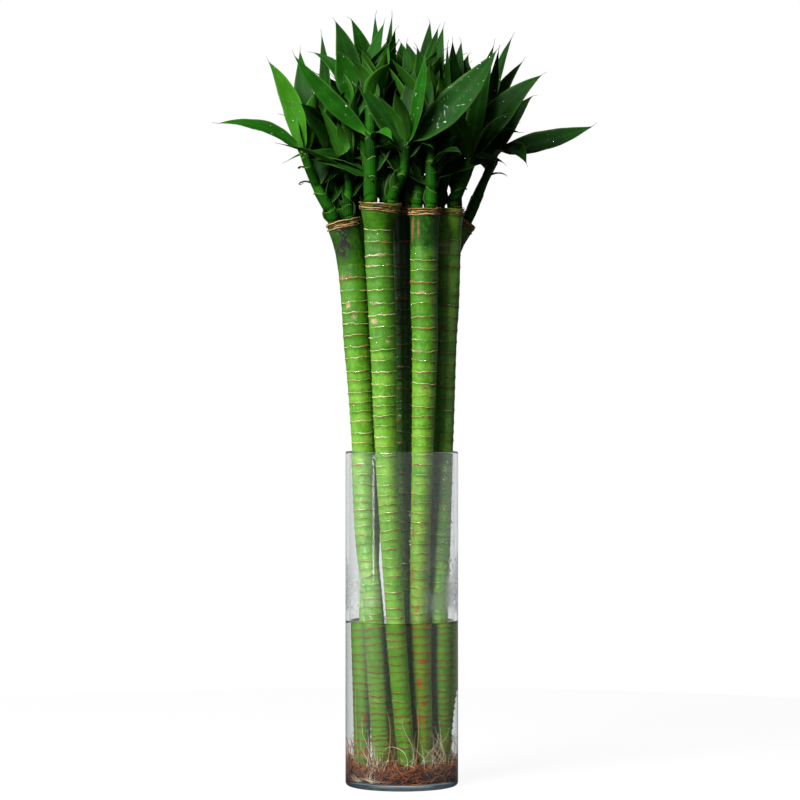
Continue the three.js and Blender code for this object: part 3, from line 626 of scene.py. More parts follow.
@dataclass(frozen=True)
class Rind:
    """Living cane rind: a waxy green skin with corky ring scars where leaves once clasped it.

    The wax gives long soft highlights and the cork breaks them with dull tan and rust brown bands. Streaks,
    clouds, blots and the fray of the cork have their real sizes in millimetres.
    """

    label: str = "living_cane_rind"
    gloss: float = 0.7
    relief: float = 0.35
    light: str = "#9CC648"
    middle: str = "#4D8813"
    dark: str = "#0E3A02"
    soaked: str = "#3C7808"
    cork_pale: str = "#C8B68C"
    cork_rust: str = "#84552C"
    cork_dark: str = "#54341A"
    bruise: str = "#241820"
    stain: str = "#8C3F14"
    streak_width: float = 1.6
    streak_length: float = 26.0
    mottle: float = 9.0
    blot: float = 2.6
    fray: float = 0.7
    weights: tuple = (0.2, 0.6, 0.55)
    darkest: tuple = (-0.1, 0.7)
    lightest: tuple = (0.6, 1.5)
    shore: float = 0.002
    soaking: float = 0.65
    sodden: float = 0.2

    def material(self) -> bpy.types.Material:
        """Mixes the finish.

        Returns:
            The material.
        """
        material, add = new_material(self.label)
        scar, tone, rust, bruise, stain = (
            add("Attribute", output="Fac", attribute_name=trait) for trait in CANE_TRAITS
        )
        place = add("TexCoord", output="Object")
        height = add("SeparateXYZ", {0: place}, "Z")
        level = WATER_LEVEL * MILLIMETRE
        wet = add("MapRange", {0: height, 1: level + self.shore, 2: level - self.shore})
        across, length, fray = map(per_metre, (self.streak_width, self.streak_length, self.fray))
        grain = add("Mapping", {"Vector": place, "Scale": (across, across, length)})
        streaks = add("TexNoise", {"Vector": grain, "Scale": 1.0, "Detail": 3.0})
        clouds = add("TexNoise", {"Vector": place, "Scale": per_metre(self.mottle)})
        blots = add("TexNoise", {"Vector": place, "Scale": per_metre(self.blot), "Detail": 3.0})
        fibres = add("Mapping", {"Vector": place, "Scale": (fray * 0.5, fray * 0.5, fray * 1.6)})
        fine = add("TexNoise", {"Vector": fibres, "Scale": 1.0, "Detail": 4.0})
        for pattern, weight in zip((streaks, clouds, blots), self.weights):
            tone = add("Math", {0: pattern, 1: weight, 2: tone}, operation="MULTIPLY_ADD")
        lower = add("MapRange", {0: tone, 1: self.darkest[0], 2: self.darkest[1]})
        upper = add("MapRange", {0: tone, 1: self.lightest[0], 2: self.lightest[1]})
        soaking = add("Math", {0: wet, 1: self.soaking}, operation="MULTIPLY")
        green = self.dark
        for share, over in ((lower, self.middle), (upper, self.light), (soaking, self.soaked)):
            green = add("Mix", {0: share, FIRST: green, SECOND: over}, MIXED, **COLOURS)
        # The rust trait is also lower on the window's side, which pales the cork there as painted light.
        rusty = add("Math", {0: clouds, 1: 0.8, 2: rust}, operation="MULTIPLY_ADD")
        rusty = add("MapRange", {0: rusty, 1: 0.35, 2: 1.0})
        specks = add("MapRange", {0: streaks, 1: 0.62, 2: 0.5})
        specks = add("Math", {0: specks, 1: 0.35}, operation="MULTIPLY")
        sodden = add("Math", {0: wet, 1: self.sodden}, operation="MULTIPLY")
        band = self.cork_pale
        for share, over in ((rusty, self.cork_rust), (specks, self.cork_dark), (sodden, self.cork_dark)):
            band = add("Mix", {0: share, FIRST: band, SECOND: over}, MIXED, **COLOURS)
        edge = add("Math", {0: fine, 1: 1.9, 2: scar}, operation="MULTIPLY_ADD")
        edge = add("Math", {0: wet, 1: 0.24, 2: edge}, operation="MULTIPLY_ADD")
        cork = add("MapRange", {0: edge, 1: 1.3, 2: 1.6})
        stained = add("Math", {0: blots, 1: 1.8, 2: stain}, operation="MULTIPLY_ADD")
        stained = add("MapRange", {0: stained, 1: 1.4, 2: 1.75, 4: 0.8})
        patchy = add("MapRange", {0: blots, 1: 0.4, 2: 0.52, 4: 0.9})
        patchy = add("Math", {0: patchy, 1: bruise}, operation="MULTIPLY")
        colour = green
        for share, over in ((cork, band), (stained, self.stain), (patchy, self.bruise)):
            colour = add("Mix", {0: share, FIRST: colour, SECOND: over}, MIXED, **COLOURS)
        relief = add("Math", {0: cork, 1: fine, 2: streaks}, operation="MULTIPLY_ADD")
        bump = add("Bump", {"Strength": self.relief, "Distance": 0.0004, "Height": relief})
        dull = add("MapRange", {0: cork, 3: 0.4, 4: 0.75})
        inputs = {"Base Color": colour, "Roughness": dull, "IOR": 1.45, "Specular IOR Level": self.gloss}
        add("OutputMaterial", {"Surface": add("BsdfPrincipled", inputs | {"Normal": bump})})
        return material


@dataclass(frozen=True)
class LeafSkin:
    """Dracaena leaf: a waxed skin over parallel veins, which gives it a satin gloss with fine lines.

    The veins are drawn coarser than the real ones, which are too fine to show.
    """

    label: str
    dark: str
    middle: str
    light: str
    pale: str = "#9CBF6A"
    dry: str = "#6A4A28"
    under: str = "#3F7A22"
    under_share: float = 0.35
    veins: float = 15.0
    cloud: float = 14.0
    roughness: float = 0.46
    darkest: tuple = (0.15, 0.65)
    lightest: tuple = (0.6, 1.15)

    def material(self) -> bpy.types.Material:
        """Mixes the finish.

        Returns:
            The material.
        """
        material, add = new_material(self.label)
        tone, across, pale, dry, under = (
            add("Attribute", output="Fac", attribute_name=trait) for trait in BLADE_TRAITS
        )
        place = add("TexCoord", output="Object")
        clouds = add("TexNoise", {"Vector": place, "Scale": per_metre(self.cloud), "Detail": 3.0})
        phase = add("Math", {0: across, 1: self.veins * TURN / 2}, operation="MULTIPLY")
        phase = add("Math", {0: clouds, 1: 2.5, 2: phase}, operation="MULTIPLY_ADD")
        vein = add("Math", {0: phase}, operation="SINE")
        shade = add("Math", {0: vein, 1: 0.06, 2: tone}, operation="MULTIPLY_ADD")
        shade = add("Math", {0: clouds, 1: 0.3, 2: shade}, operation="MULTIPLY_ADD")
        lower = add("MapRange", {0: shade, 1: self.darkest[0], 2: self.darkest[1]})
        upper = add("MapRange", {0: shade, 1: self.lightest[0], 2: self.lightest[1]})
        below = add("Math", {0: under, 1: self.under_share}, operation="MULTIPLY")
        colour = self.dark
        layers = ((lower, self.middle), (upper, self.light), (below, self.under), (pale, self.pale))
        for share, over in (*layers, (dry, self.dry)):
            colour = add("Mix", {0: share, FIRST: colour, SECOND: over}, MIXED, **COLOURS)
        bump = add("Bump", {"Strength": 0.25, "Distance": 0.0003, "Height": vein})
        smoothest, roughest = self.roughness - 0.1, self.roughness + 0.08
        satin = add("MapRange", {0: clouds, 1: 0.35, 2: 0.65, 3: smoothest, 4: roughest})
        inputs = {"Base Color": colour, "Roughness": satin, "IOR": 1.45, "Specular IOR Level": 0.05}
        add("OutputMaterial", {"Surface": add("BsdfPrincipled", inputs | {"Normal": bump})})
        return material


@dataclass(frozen=True)
class Fibre:
    """Plant fibre, dried or soaked: dull strands whose colour changes from one to the next."""

    label: str
    pale: str
    deep: str
    grain: float
    roughness: float = 0.8

    def material(self) -> bpy.types.Material:
        """Mixes the finish.

        Returns:
            The material.
        """
        material, add = new_material(self.label)
        place = add("TexCoord", output="Object")
        noise = add("TexNoise", {"Vector": place, "Scale": per_metre(self.grain), "Detail": 3.0})
        tone = add("Attribute", output="Fac", attribute_name="tone")
        mixed = add("Math", {0: noise, 1: 0.6, 2: tone}, operation="MULTIPLY_ADD")
        share = add("MapRange", {0: mixed, 1: 0.3, 2: 1.2})
        colour = add("Mix", {0: share, FIRST: self.pale, SECOND: self.deep}, MIXED, **COLOURS)
        bump = add("Bump", {"Strength": 0.5, "Distance": 0.0003, "Height": noise})
        inputs = {"Base Color": colour, "Roughness": self.roughness, "Specular IOR Level": 0.2}
        add("OutputMaterial", {"Surface": add("BsdfPrincipled", inputs | {"Normal": bump})})
        return material


@dataclass
class Vase:
    """The straight glass cylinder with its thick base and rounded rim.

    Each wet patch inside has its lowest and highest place, its first and last angle and a count of beads.
    """

    rim: float = 1.4
    foot: float = 3.0
    inner_corner: float = 3.5
    settle: float = 1.5
    kick: float = 0.6
    thick_from: float = 1.8
    sides: int = 160
    patch_steps: int = 7
    bead_radii: tuple[float, float] = (0.3, 1.2)
    wet_patches: tuple = (
        (185, 292, 48, 68, 110),
        (200, 285, 7, 13, 14),
        (150, 240, 46, 86, 60),
        (150, 190, -75, -35, 50),
    )

    def bore(self, swell: float, top: float) -> list[tuple[float, float]]:
        """Gives the inner outline from the middle of the floor up the wall.

        Args:
            swell: How far outside the bore the outline lies.
            top: The height that it ends at.

        Returns:
            Pairs of radius and height.
        """
        corner = (BORE_RADIUS - self.inner_corner, VASE_FLOOR + self.inner_corner)
        low = VASE_FLOOR - swell
        outline = [(NEAR_AXIS, low), (corner[0] * 0.5, low), (corner[0] - self.settle, low)]
        outline += rounded(corner, self.inner_corner + swell, -90, 0, 8)
        return outline + [(BORE_RADIUS + swell, corner[1] + self.settle), (BORE_RADIUS + swell, top)]

    def build(self) -> None:
        """Makes the vase."""
        foot = (VASE_RADIUS - self.foot, self.foot)
        profile = [(NEAR_AXIS, self.kick), (foot[0] * 0.6, self.kick), (foot[0] - self.settle, 0.4)]
        profile += rounded(foot, self.foot, -90, 0, 8)
        wall_top = VASE_HEIGHT - self.rim - self.settle
        edge = self.foot + self.settle
        profile += [(VASE_RADIUS, height) for height in (edge, edge + 0.6, wall_top)]
        rim_height = VASE_HEIGHT - self.rim
        profile += rounded((VASE_RADIUS - self.rim, rim_height), self.rim, 0, 90, 6)
        profile += rounded((BORE_RADIUS + self.rim, rim_height), self.rim, 90, 180, 6)
        profile += self.bore(0, wall_top)[::-1]
        thick = [radius > BORE_RADIUS and self.thick_from < height <= edge for radius, height in profile]
        glass = Surface("thick")
        glass.add(turned(profile, self.sides), thick=np.array(thick, float)[:, None])
        finish = ClearMedium("pressed_soda_glass", "#FBFDFD", 1.5, "#3C4F58", 0.3)
        glass.piece("glass_vase", Slot.GLASS, "vase", finish.material())

    def mist(self, dew: "Dew") -> None:
        """Scatters beads over the inside of the wall above the water, most of them at the front right.

        Args:
            dew: Where the beads go.
        """
        steps = self.patch_steps
        for low, high, start, end, count in self.wet_patches:
            turns = np.radians(np.linspace(start - 90, end - 90, steps))
            wall = np.zeros((steps, steps, 3))
            wall[..., 0] = BORE_RADIUS * np.cos(turns)
            wall[..., 1] = BORE_RADIUS * np.sin(turns)
            wall[..., 2] = np.linspace(high, low, steps)[:, None]
            dew.sprinkle(wall, count, self.bead_radii)


@dataclass
class Water:
    """The water, which reaches a hair's breadth into the glass so that no film of air lies between them.

    Its drawn-up rim is given as distances in from the wall, with the share of the climb at each.
    """

    vase: Vase
    swell: float = 0.05
    climb: float = 1.3
    drawn_up: tuple = ((0.1, 1), (0.5, 0.6), (1.2, 0.28), (2.4, 0.08), (4.5, 0), (6, 0), (VASE_RADIUS, 0))
    sides: int = 160

    def build(self) -> None:
        """Makes the water with the rim that it draws up the glass."""
        edge = BORE_RADIUS + self.swell
        profile = self.vase.bore(self.swell, WATER_LEVEL - self.climb)
        profile.append((edge, WATER_LEVEL + self.climb))
        for inward, share in self.drawn_up:
            profile.append((max(edge - inward, NEAR_AXIS), WATER_LEVEL + share * self.climb))
        body = Surface()
        body.add(turned(profile, self.sides))
        finish = ClearMedium("still_water", "#FCFEFD", 1.333)
        body.piece("vase_water", Slot.WATER, "water", finish.material())


@dataclass(frozen=True)
class Mark:
    """A spoiled place on a cane's front, given in the front view: a dark bruise, or a corky crack."""

    across: float
    height: float
    half_width: float
    half_height: float
    bruise: float = 0.0
    cork: float = 0.0
    rust: float = 0.0
    stain: float = 0.0


@dataclass
class Cane:
    """One cane: its centre line from foot to top, its girth and the radius of its flared top.

    Rows of points have a place, a lift and a share of cork: those of a scar by distance from its ring, those
    of the cut top by share of the bare joint. Those of plain skin lie at shares of the gap between rings.
    Each wave has its size, how often it runs round and the number of its phase.
    """

    name: str
    girth: float
    top: float
    line: tuple
    marks: tuple = ()
    sides: int = 44
    # A lightness for the whole cane. For d and f it stands in for light and shade: painted light on d,
    # painted shade on f.
    tone: float = 0.0
    rust: float = 0.3
    joint: float = 30.0
    # How much the bare top joint's lightness changes: its own darker skin, with painted shade under the
    # crown.
    joint_tone: float = 0.0
    # How much lighter the skin is below than at the cut top: its own younger top, with painted shade under
    # the crown and painted light lower down.
    ripening_and_shade: float = 0.5
    stains: float = 0.2
    faint: bool = False
    beads: int = 0
    route: Route = field(init=False)
    draws: Draws = field(init=False)
    spacing: tuple[float, float] = (5.4, 11.2)
    jitter: float = 0.16
    scar_rows: tuple = (
        (-1.1, 0, 0), (-0.4, 0.24, 0.75), (0, 0.34, 1.0), (0.4, 0.15, 0.75), (0.9, -0.14, 0.1), (1.5, 0, 0),
    )
    skin_rows: tuple = (0.36, 0.62)
    foot_rows: tuple = ((0, -1.6, 1.0), (1.2, -0.3, 0.5))
    top_rows: tuple = ((0.7, 0, 0), (0.94, 0, 0.2), (1, 0, 0.6), (1, -1.5, 1.0), (1, -4.5, 1.0))
    waves: tuple = ((0.36, 2, 1), (0.3, 5, 2), (0.22, 9, 3), (0.14, 14, 7))
    vigour: tuple = ((0.25, 1, 4), (0.16, 7, 3), (0.28, 3, 5))
    bead_radii: tuple[float, float] = (0.3, 0.9)

    def __post_init__(self) -> None:
        """Lays the centre line and seeds the draws."""
        self.route = Route(self.line)
        self.draws = Draws(name_number(self.name) * CANE_SEED)

    def radius(self, distances: np.ndarray) -> np.ndarray:
        """Gives the cane's plain radius.

        Args:
            distances: Distances from its foot.

        Returns:
            The radius at each.
        """
        heights = self.line[0][2] + distances
        plain = np.interp(heights, TAPER_HEIGHTS, TAPER_RADII) * self.girth
        length = self.route.length
        return plain + (self.top - plain) * smooth(length - FLARE_LENGTH, length, distances)

    def rings(self) -> list[float]:
        """Spaces the ring scars down from the bare top joint, closer together towards the foot.

        Returns:
            Their distances from the foot.
        """
        length = self.route.length
        rings = [length - self.joint]
        while rings[-1] > self.spacing[1]:
            step = np.interp(rings[-1], (0, length), self.spacing)
            rings.append(rings[-1] - float(step) * (1 + self.draws.around(self.jitter)))
        return sorted(ring for ring in rings if ring > 2)

    def scar(self, ring: float, gap: float, fading: float) -> tuple[np.ndarray, list]:
        """Shapes a ring scar, which bursts open in places above the vase, and the skin up to the next one.

        Args:
            ring: Its distance from the foot.
            gap: The distance to the next one.
            fading: How far it keeps its full strength, from 0 to 1.

        Returns:
            How it strays up and down round the cane, and rows of place, relief, cork, tone and rust.
        """
        draws, turns = self.draws, spaced_turns(self.sides)
        phases = [draws.next() * TURN for _ in range(8)]
        stray = draws.between(0.2, 0.9) * np.cos(turns - phases[0]) + ripple(turns, self.waves, phases)
        vigour = draws.between(0.5, 1.0) + ripple(turns, self.vigour, phases)
        vigour = np.clip(vigour, 0.12, 1.15) * fading
        soaked = float(smooth(VASE_HEIGHT + 10, VASE_HEIGHT - 80, ring))
        burst = max(draws.between(-1.6, 2.4), 0) * (1 - 0.6 * soaked)
        near = smooth(0.86, 1, np.cos(turns - phases[6]))
        spread = draws.between(0.45, 0.9) * (1 + burst * near)
        tone = draws.around(0.1)
        rust = self.rust + draws.around(0.35) + 0.6 * soaked + 0.5 * near * min(burst, 1)
        rows = []
        for off, lift, cork in self.scar_rows:
            rows.append((ring + off * spread, lift * vigour, cork * vigour, tone, rust))
        for share in self.skin_rows:
            rows.append((ring + share * gap, -0.16, 0, tone + 0.05 * share, rust))
        return stray, rows

    def build(self, rinds: tuple, dew: "Dew") -> None:
        """Makes the cane.

        Args:
            rinds: Its finishes above and under the water, and on the bare joint at its top.
            dew: Where its water beads go.
        """
        rings = self.rings()
        turns = spaced_turns(self.sides)
        flat = np.zeros(self.sides)
        length = self.route.length
        rows = [(*row, 0, 1) for row in self.foot_rows]
        strays = [flat]
        for ring, after in zip(rings, rings[1:] + [rings[-1] + self.joint]):
            fading = 0.3 if self.faint and ring == rings[-1] else 1.0
            stray, scar = self.scar(ring, after - ring, fading)
            strays.append(stray)
            rows += scar
        for share, lift, cork in self.top_rows:
            rows.append((length - self.joint * (1 - share) * 0.6, lift, cork, -0.05, 0.9))
        place, relief, *coat = (np.array([flat + row[i] for row in rows]) for i in range(5))
        middle = [0.0, *rings, length]
        bends = np.array([*strays, flat])
        shifts = [np.interp(place[:, i], middle, bends[:, i]) for i in range(self.sides)]
        distances = np.maximum.accumulate(np.minimum(place + np.array(shifts).T, length), axis=0)
        flutes = 0.14 * np.sin(3 * turns + self.top) + 0.1 * np.sin(5 * turns + self.girth * 9)
        radii = self.radius(distances) + relief + flutes
        grid = ring_points(self.route, distances, radii, turns)
        if self.beads:
            front = np.arange(int(self.sides * 0.5), int(self.sides * 0.82))
            dew.sprinkle(grid[-110:-6][:, front], self.beads, self.bead_radii)
        skin = Surface(*CANE_TRAITS)
        kind = (grid[1:, :, 2] < WATER_LEVEL) + 2 * (place[1:] > length - self.joint)
        skin.add(grid, finish=kind, **self.dress(grid, place, *coat))
        skin.piece(f"ringed_cane_{self.name}", Slot.CANE, f"cane_{self.name}", *rinds)

    def dress(
        self, grid: np.ndarray, place: np.ndarray, cork: np.ndarray, tones: np.ndarray, rust_and_side_shade: np.ndarray
    ) -> dict[str, np.ndarray]:
        """Ages the skin along the cane and lays the marks on its front.

        Args:
            grid: The cane's points.
            place: Their plain distances from the foot.
            cork: How corky they are.
            tones: How light they are.
            rust_and_side_shade: How rusty their cork is.

        Returns:
            The numbers that the rind reads, by name.
        """
        turns = spaced_turns(self.sides)
        bruise = np.zeros(place.shape)
        stain = self.stains * smooth(VASE_HEIGHT + 10, VASE_HEIGHT - 40, grid[..., 2])
        for mark in self.marks:
            off = np.abs((grid[..., 0] - mark.across) / mark.half_width) ** 2
            off += np.abs((grid[..., 2] - mark.height) / mark.half_height) ** 4
            near = np.exp(-off) * (np.sin(turns) < 0)
            bruise = np.maximum(bruise, mark.bruise * near)
            cork = np.maximum(cork, mark.cork * near)
            rust_and_side_shade = rust_and_side_shade + mark.rust * near
            stain = np.maximum(stain, mark.stain * near)
        length = self.route.length
        bare = length - self.joint
        # Darker towards the cut top and lighter below: partly the skin's own younger green, partly painted
        # shade of the crown and painted light lower down.
        tones = tones + self.tone + self.ripening_and_shade * smooth(length, VASE_HEIGHT - 20, place) - 0.4
        # The bare top joint is darkened here: its own darker skin and painted shade under the crown.
        tones = tones + self.joint_tone * smooth(bare - 3, bare + 3, place)
        # The cork is drawn paler on the left, the window's side, and browner on the right: painted light and
        # shade.
        rust_and_side_shade = rust_and_side_shade + 0.2 * np.cos(turns)
        return dict(zip(CANE_TRAITS, (cork, tones, rust_and_side_shade, bruise, stain)))


@dataclass
class Collar:
    """The torn rings of dry leaf sheath that stay round a cane's cut top.

    A band's edges wave, and its upper edge is torn. Both are given like a cane's waves.
    """

    cane: Cane
    dry: Surface = field(default_factory=lambda: Surface("tone"))
    draws: Draws = field(init=False)
    bands: int = 4
    band_step: float = 1.8
    band_heights: tuple[float, float] = (0.35, 0.95)
    thickness: float = 0.4
    ravel: float = 0.27
    waves: tuple = ((0.6, 1, 0), (0.3, 4, 1))
    tears: tuple = ((1.0, 7, 2), (0.7, 13, 3), (1.0, 2, 4))
    threads: int = 20
    thread_radii: tuple = (0.2, 0.28, 0.08)
    sides: int = 84

    def build(self, fibre: bpy.types.Material) -> None:
        """Makes the bands and the loose threads along them.

        Args:
            fibre: Their finish.
        """
        self.draws = Draws(name_number(self.cane.name) * COLLAR_SEED)
        length = self.cane.route.length
        for band in range(self.bands):
            low = length - COLLAR_DEPTH + self.band_step * band + self.draws.around(0.5)
            tall = self.draws.between(*self.band_heights)
            self.band(low, tall, 0.15 + 0.12 * band)
        for _ in range(self.threads):
            self.thread(length - COLLAR_DEPTH * self.draws.between(-0.2, 1.1))
        self.dry.piece(f"dry_collar_{self.cane.name}", Slot.DRY, f"collar_{self.cane.name}", fibre)

    def band(self, low: float, tall: float, lift: float) -> None:
        """Adds one band with wandering, torn edges.

        Args:
            low: Where its lower edge lies along the cane.
            tall: How wide it is.
            lift: How far off the cane it lies.
        """
        turns = spaced_turns(self.sides)
        phases = [self.draws.next() * TURN for _ in range(5)]
        lower = low + ripple(turns, self.waves, phases)
        ragged = ripple(turns, self.tears, phases)
        upper = lower + np.maximum(tall + self.ravel * ragged, 0.25)
        middle = (lower + upper) / 2
        inner = self.cane.radius(np.minimum(middle, self.cane.route.length)) + lift
        outer = inner + self.thickness
        rows = np.stack([lower, upper, upper, middle, lower], axis=1)
        radii = np.stack([inner, inner + 0.15, outer + 0.1, outer + 0.3, outer - 0.05], axis=1)
        grid = ring_points(self.cane.route, rows, radii, turns[:, None])
        self.dry.add(grid[:, ::-1], closed=True, tone=self.draws.next() * 0.8 + 0.1 * ragged[:, None])

    def thread(self, place: float) -> None:
        """Adds one loose fibre that lies partly round the cane.

        Args:
            place: Its distance along the cane.
        """
        start = self.draws.next() * TURN
        sweep = self.draws.between(0.5, 1.6)
        slope = self.draws.around(1.6)
        shares = np.linspace(0, 1, 7)
        distances = place + slope * shares + self.draws.around(0.8) * np.sin(3 * shares)
        radii = self.cane.radius(np.minimum(distances, self.cane.route.length)) + 0.8
        radii += self.draws.between(0, 0.8) * shares
        turns = start + sweep * shares
        line = ring_points(self.cane.route, distances[:, None], radii[:, None], turns[:, None])
        self.dry.add(tube(Route(line[:, 0]), self.thread_radii, 12, 5), tone=self.draws.next())


def drawn_in(across: np.ndarray, back: np.ndarray, room: float) -> tuple[np.ndarray, np.ndarray]:
    """Draws places across and towards the back into the vase's bore, with some room to its wall."""
    inside = np.minimum(1, (BORE_RADIUS - room) / np.hypot(across, back))
    return across * inside, back * inside


def round_route(radii: np.ndarray, angles: np.ndarray, heights: np.ndarray) -> Route:
    """Returns the line through points given by distance from the vase's axis, angle and height."""
    return Route(np.stack([radii * np.cos(angles), radii * np.sin(angles), heights], axis=1))


@dataclass
class RootMat:
    """The tangle of roots on the vase's floor, with pale young roots that climb from it."""

    tangle: Surface = field(default_factory=lambda: Surface("tone"))
    draws: Draws = field(default_factory=lambda: Draws(MAT_SEED))
    fibres: int = 760
    fibre_lengths: tuple[float, float] = (9, 26)
    fibre_radii: tuple[float, float] = (0.14, 0.42)
    wisps: int = 300
    wisp_radii: tuple[float, float] = (0.1, 0.24)
    wisp_climb: float = 30.0
    young_radii: tuple[float, float] = (0.09, 0.2)
    core: tuple = ((30, 5.3), (41, 6), (43.5, 9), (43.5, 16), (40, 19))
    core_top: tuple = (34, 27, 20, 13, 6, 0.01)

    def top(self, across: np.ndarray, back: np.ndarray) -> np.ndarray:
        """Gives the height of the mat's hummocky top at places across and towards the back."""
        x, y = MAT_WAVE * across, MAT_WAVE * back
        return MAT_HEIGHT + MAT_BUMP * (np.sin(x + 1) * np.cos(0.9 * y) + 0.6 * np.sin(1.6 * y - x))

    def build(self) -> None:
        """Makes the mat."""
        self.add_core()
        for _ in range(self.fibres):
            self.add_fibre()
        for _ in range(self.wisps):
            self.add_wisp()
        self.add_strands()
        for root in YOUNG_ROOTS:
            self.add_young(root)
        old = Fibre("soaked_root_fibre", "#A85A12", "#240A02", 3.0, 0.6)
        young = Fibre("young_root_skin", "#E6DABD", "#A67C48", 6.0, 0.6)
        self.tangle.piece("root_tangle", Slot.ROOTS, "root_mat", old.material(), young.material())

    def add_core(self) -> None:
        """Adds the dense middle of the mat, which the fibres lie on."""
        profile = [(NEAR_AXIS, VASE_FLOOR + GAP), *self.core]
        profile += [(radius, MAT_HEIGHT - 1) for radius in self.core_top]
        grid = turned(profile, 64)
        bumps = self.top(grid[..., 0], grid[..., 1]) - MAT_HEIGHT
        grid[..., 2] += bumps * smooth(VASE_FLOOR + 4, MAT_HEIGHT - 2, grid[..., 2])
        self.tangle.add(grid, tone=0.95)

    def add_fibre(self) -> None:
        """Adds one brown root that winds through the mat."""
        turn = self.draws.next() * TURN
        radius = (BORE_RADIUS - 1) * self.draws.between(0.55, 1.0) ** 0.3
        heading = self.draws.next() * TURN
        length = self.draws.between(*self.fibre_lengths)
        curl = self.draws.around(2.6)
        climb = self.draws.around(0.9)
        phase = self.draws.next() * TURN
        thick = self.draws.between(*self.fibre_radii)
        shares = np.linspace(-0.5, 0.5, 9)
        bend = heading + curl * shares
        across = radius * math.cos(turn) + length * shares * np.cos(bend)
        back = radius * math.sin(turn) + length * shares * np.sin(bend)
        across, back = drawn_in(across, back, 1)
        rise = self.draws.between(VASE_FLOOR + 1.5, MAT_HEIGHT + 1) + length * climb * shares
        rise += np.sin(7 * shares + phase)
        rise = np.clip(rise, VASE_FLOOR + 0.8, self.top(across, back) + 1.6)
        route = Route(np.stack([across, back, rise], axis=1))
        self.tangle.add(tube(route, (thick, thick * 0.9, thick * 0.5), 12, 4), tone=self.draws.next() ** 1.3)

    def add_strands(self) -> None:
        """Adds the roots that climb along the glass where the solids have them."""
        tree = corner_tree("root_mat")
        drawn = Draws(STRAND_SEED)
        for i in range(STRAND_COUNT):
            start = (i + drawn.next() / 2) * TURN / STRAND_COUNT
            height = drawn.between(*STRAND_HEIGHTS)
            wander = drawn.around(STRAND_WANDER)
            for step in range(STRAND_TRIES):
                route = self.strand(start + step * STRAND_STEP, height, wander)
                if tree.find(Vector(route.origin(route.length)))[2] < STRAND_RADIUS:
                    radii = STRAND_RADIUS * (1 - STRAND_THINNING * np.arange(STRAND_SPANS + 1))
                    self.tangle.add(tube(route, np.append(radii * 0.6, 0.2), 40, 6), finish=1, tone=1.0)
                    break

    def strand(self, turn: float, height: float, wander: float) -> Route:
        """Lays the line of one climbing root, as in the solids.

        Args:
            turn: The angle that it starts at.
            height: The height of its end.
            wander: How far it strays sideways.

        Returns:
            Its line.
        """
        shares = np.linspace(0, 1, STRAND_SPANS + 1)
        radii = BORE_RADIUS - STRAND_INSET - STRAND_LEAN * (1 - shares) ** 2
        low = MAT_HEIGHT - STRAND_DEPTH
        return round_route(radii, turn + wander * np.sin(shares * 3) * shares, low + (height - low) * shares)

    def add_young(self, root: "YoungRoot") -> None:
        """Adds a bunch of thin white roots.

        Args:
            root: The bunch.
        """
        for _ in range(root.count):
            shares = np.linspace(0, 1, 9)
            off = self.draws.around(root.spread)
            lean = self.draws.around(root.spread * 3.5)
            sway, pace, phase = self.draws.between(1.0, 3.6), self.draws.between(3, 8), self.draws.next()
            sway = sway * np.sin(pace * shares + phase * TURN)
            across = root.across + off + lean * shares**1.5 + sway
            depth = root.depth + self.draws.between(0, 4) + 1.2 * np.sin(5 * shares + off)
            rise = (root.high - root.low) * self.draws.between(0.5, 1.0) * shares + root.low
            route = Route(np.stack([*drawn_in(across, depth, 1.2), rise], axis=1))
            thick = self.draws.between(*self.young_radii)
            grid = tube(route, (thick, thick, thick * 0.4), 30, 5)
            self.tangle.add(grid, finish=1, tone=self.draws.next() * 0.6)

    def add_wisp(self) -> None:
        """Adds one thin brown root that curls up out of the mat."""
        turn = self.draws.next() * TURN
        radius = self.draws.between(22, BORE_RADIUS - 2)
        sweep = self.draws.around(0.5)
        climb = 5 + self.wisp_climb * self.draws.next() ** 1.8
        curl = self.draws.between(3, 8)
        shares = np.linspace(0, 1, 9)
        angles = turn + sweep * shares + 0.09 * np.sin(curl * shares)
        radii = radius + self.draws.around(7) * shares + 1.5 * np.sin(curl * shares + turn)
        radii = np.clip(radii, 4, BORE_RADIUS - 1.5)
        rise = MAT_HEIGHT - 4 + climb * np.sin(shares * self.draws.between(1.2, 2.8))
        thick = self.draws.between(*self.wisp_radii)
        pale = int(self.draws.next() < 0.3)
        grid = tube(round_route(radii, angles, rise), (thick, thick, thick * 0.5), 15, 4)
        self.tangle.add(grid, finish=pale, tone=self.draws.next() ** 1.2)


@dataclass(frozen=True)
class YoungRoot:
    """A bunch of pale roots: where it stands, how wide it is and how high it climbs."""

    across: float
    depth: float
    low: float
    high: float
    spread: float
    count: int


YOUNG_ROOTS = (
    YoungRoot(-23, -38, 7, 44, 4, 20),
    YoungRoot(-27, -35, 20, 66, 4, 4),
    YoungRoot(-34, -29, 6, 12, 12, 16),
    YoungRoot(-16, -41, 6, 11, 10, 14),
    YoungRoot(-2, -43, 14, 40, 3, 3),
    YoungRoot(11, -42, 16, 66, 3, 4),
    YoungRoot(19, -40, 12, 44, 5, 5),
    YoungRoot(26, -36, 16, 50, 4, 6),
    YoungRoot(33, -28, 24, 62, 5, 6),
    YoungRoot(38, -20, 8, 46, 3, 5),
)


@dataclass(frozen=True)
class Leaf:
    """A measured leaf: its tip in the front view, width, bow, the way its face looks, place and tone."""

    tip: tuple[float, float, float]
    width: float
    bow: float
    face: Face = Face.FRONT
    start: float = 1.0
    # The tone is set to how light the leaf looks: its own green together with painted light and shade.
    tone: float | None = None
    dew: int = 3


@dataclass(frozen=True)
class Plan:
    """A shoot: its seat, stem radius and line, its measured leaves, and how many more it draws.

    Its name begins with its cane's. A curl is a dry sheath end: its place on the stem, length and bend.
    """

    seat: tuple[float, float]
    radius: float
    stem: tuple
    leaves: tuple[Leaf, ...] = ()
    fan: int = 0
    skirt: int = 0
    curls: tuple = ()


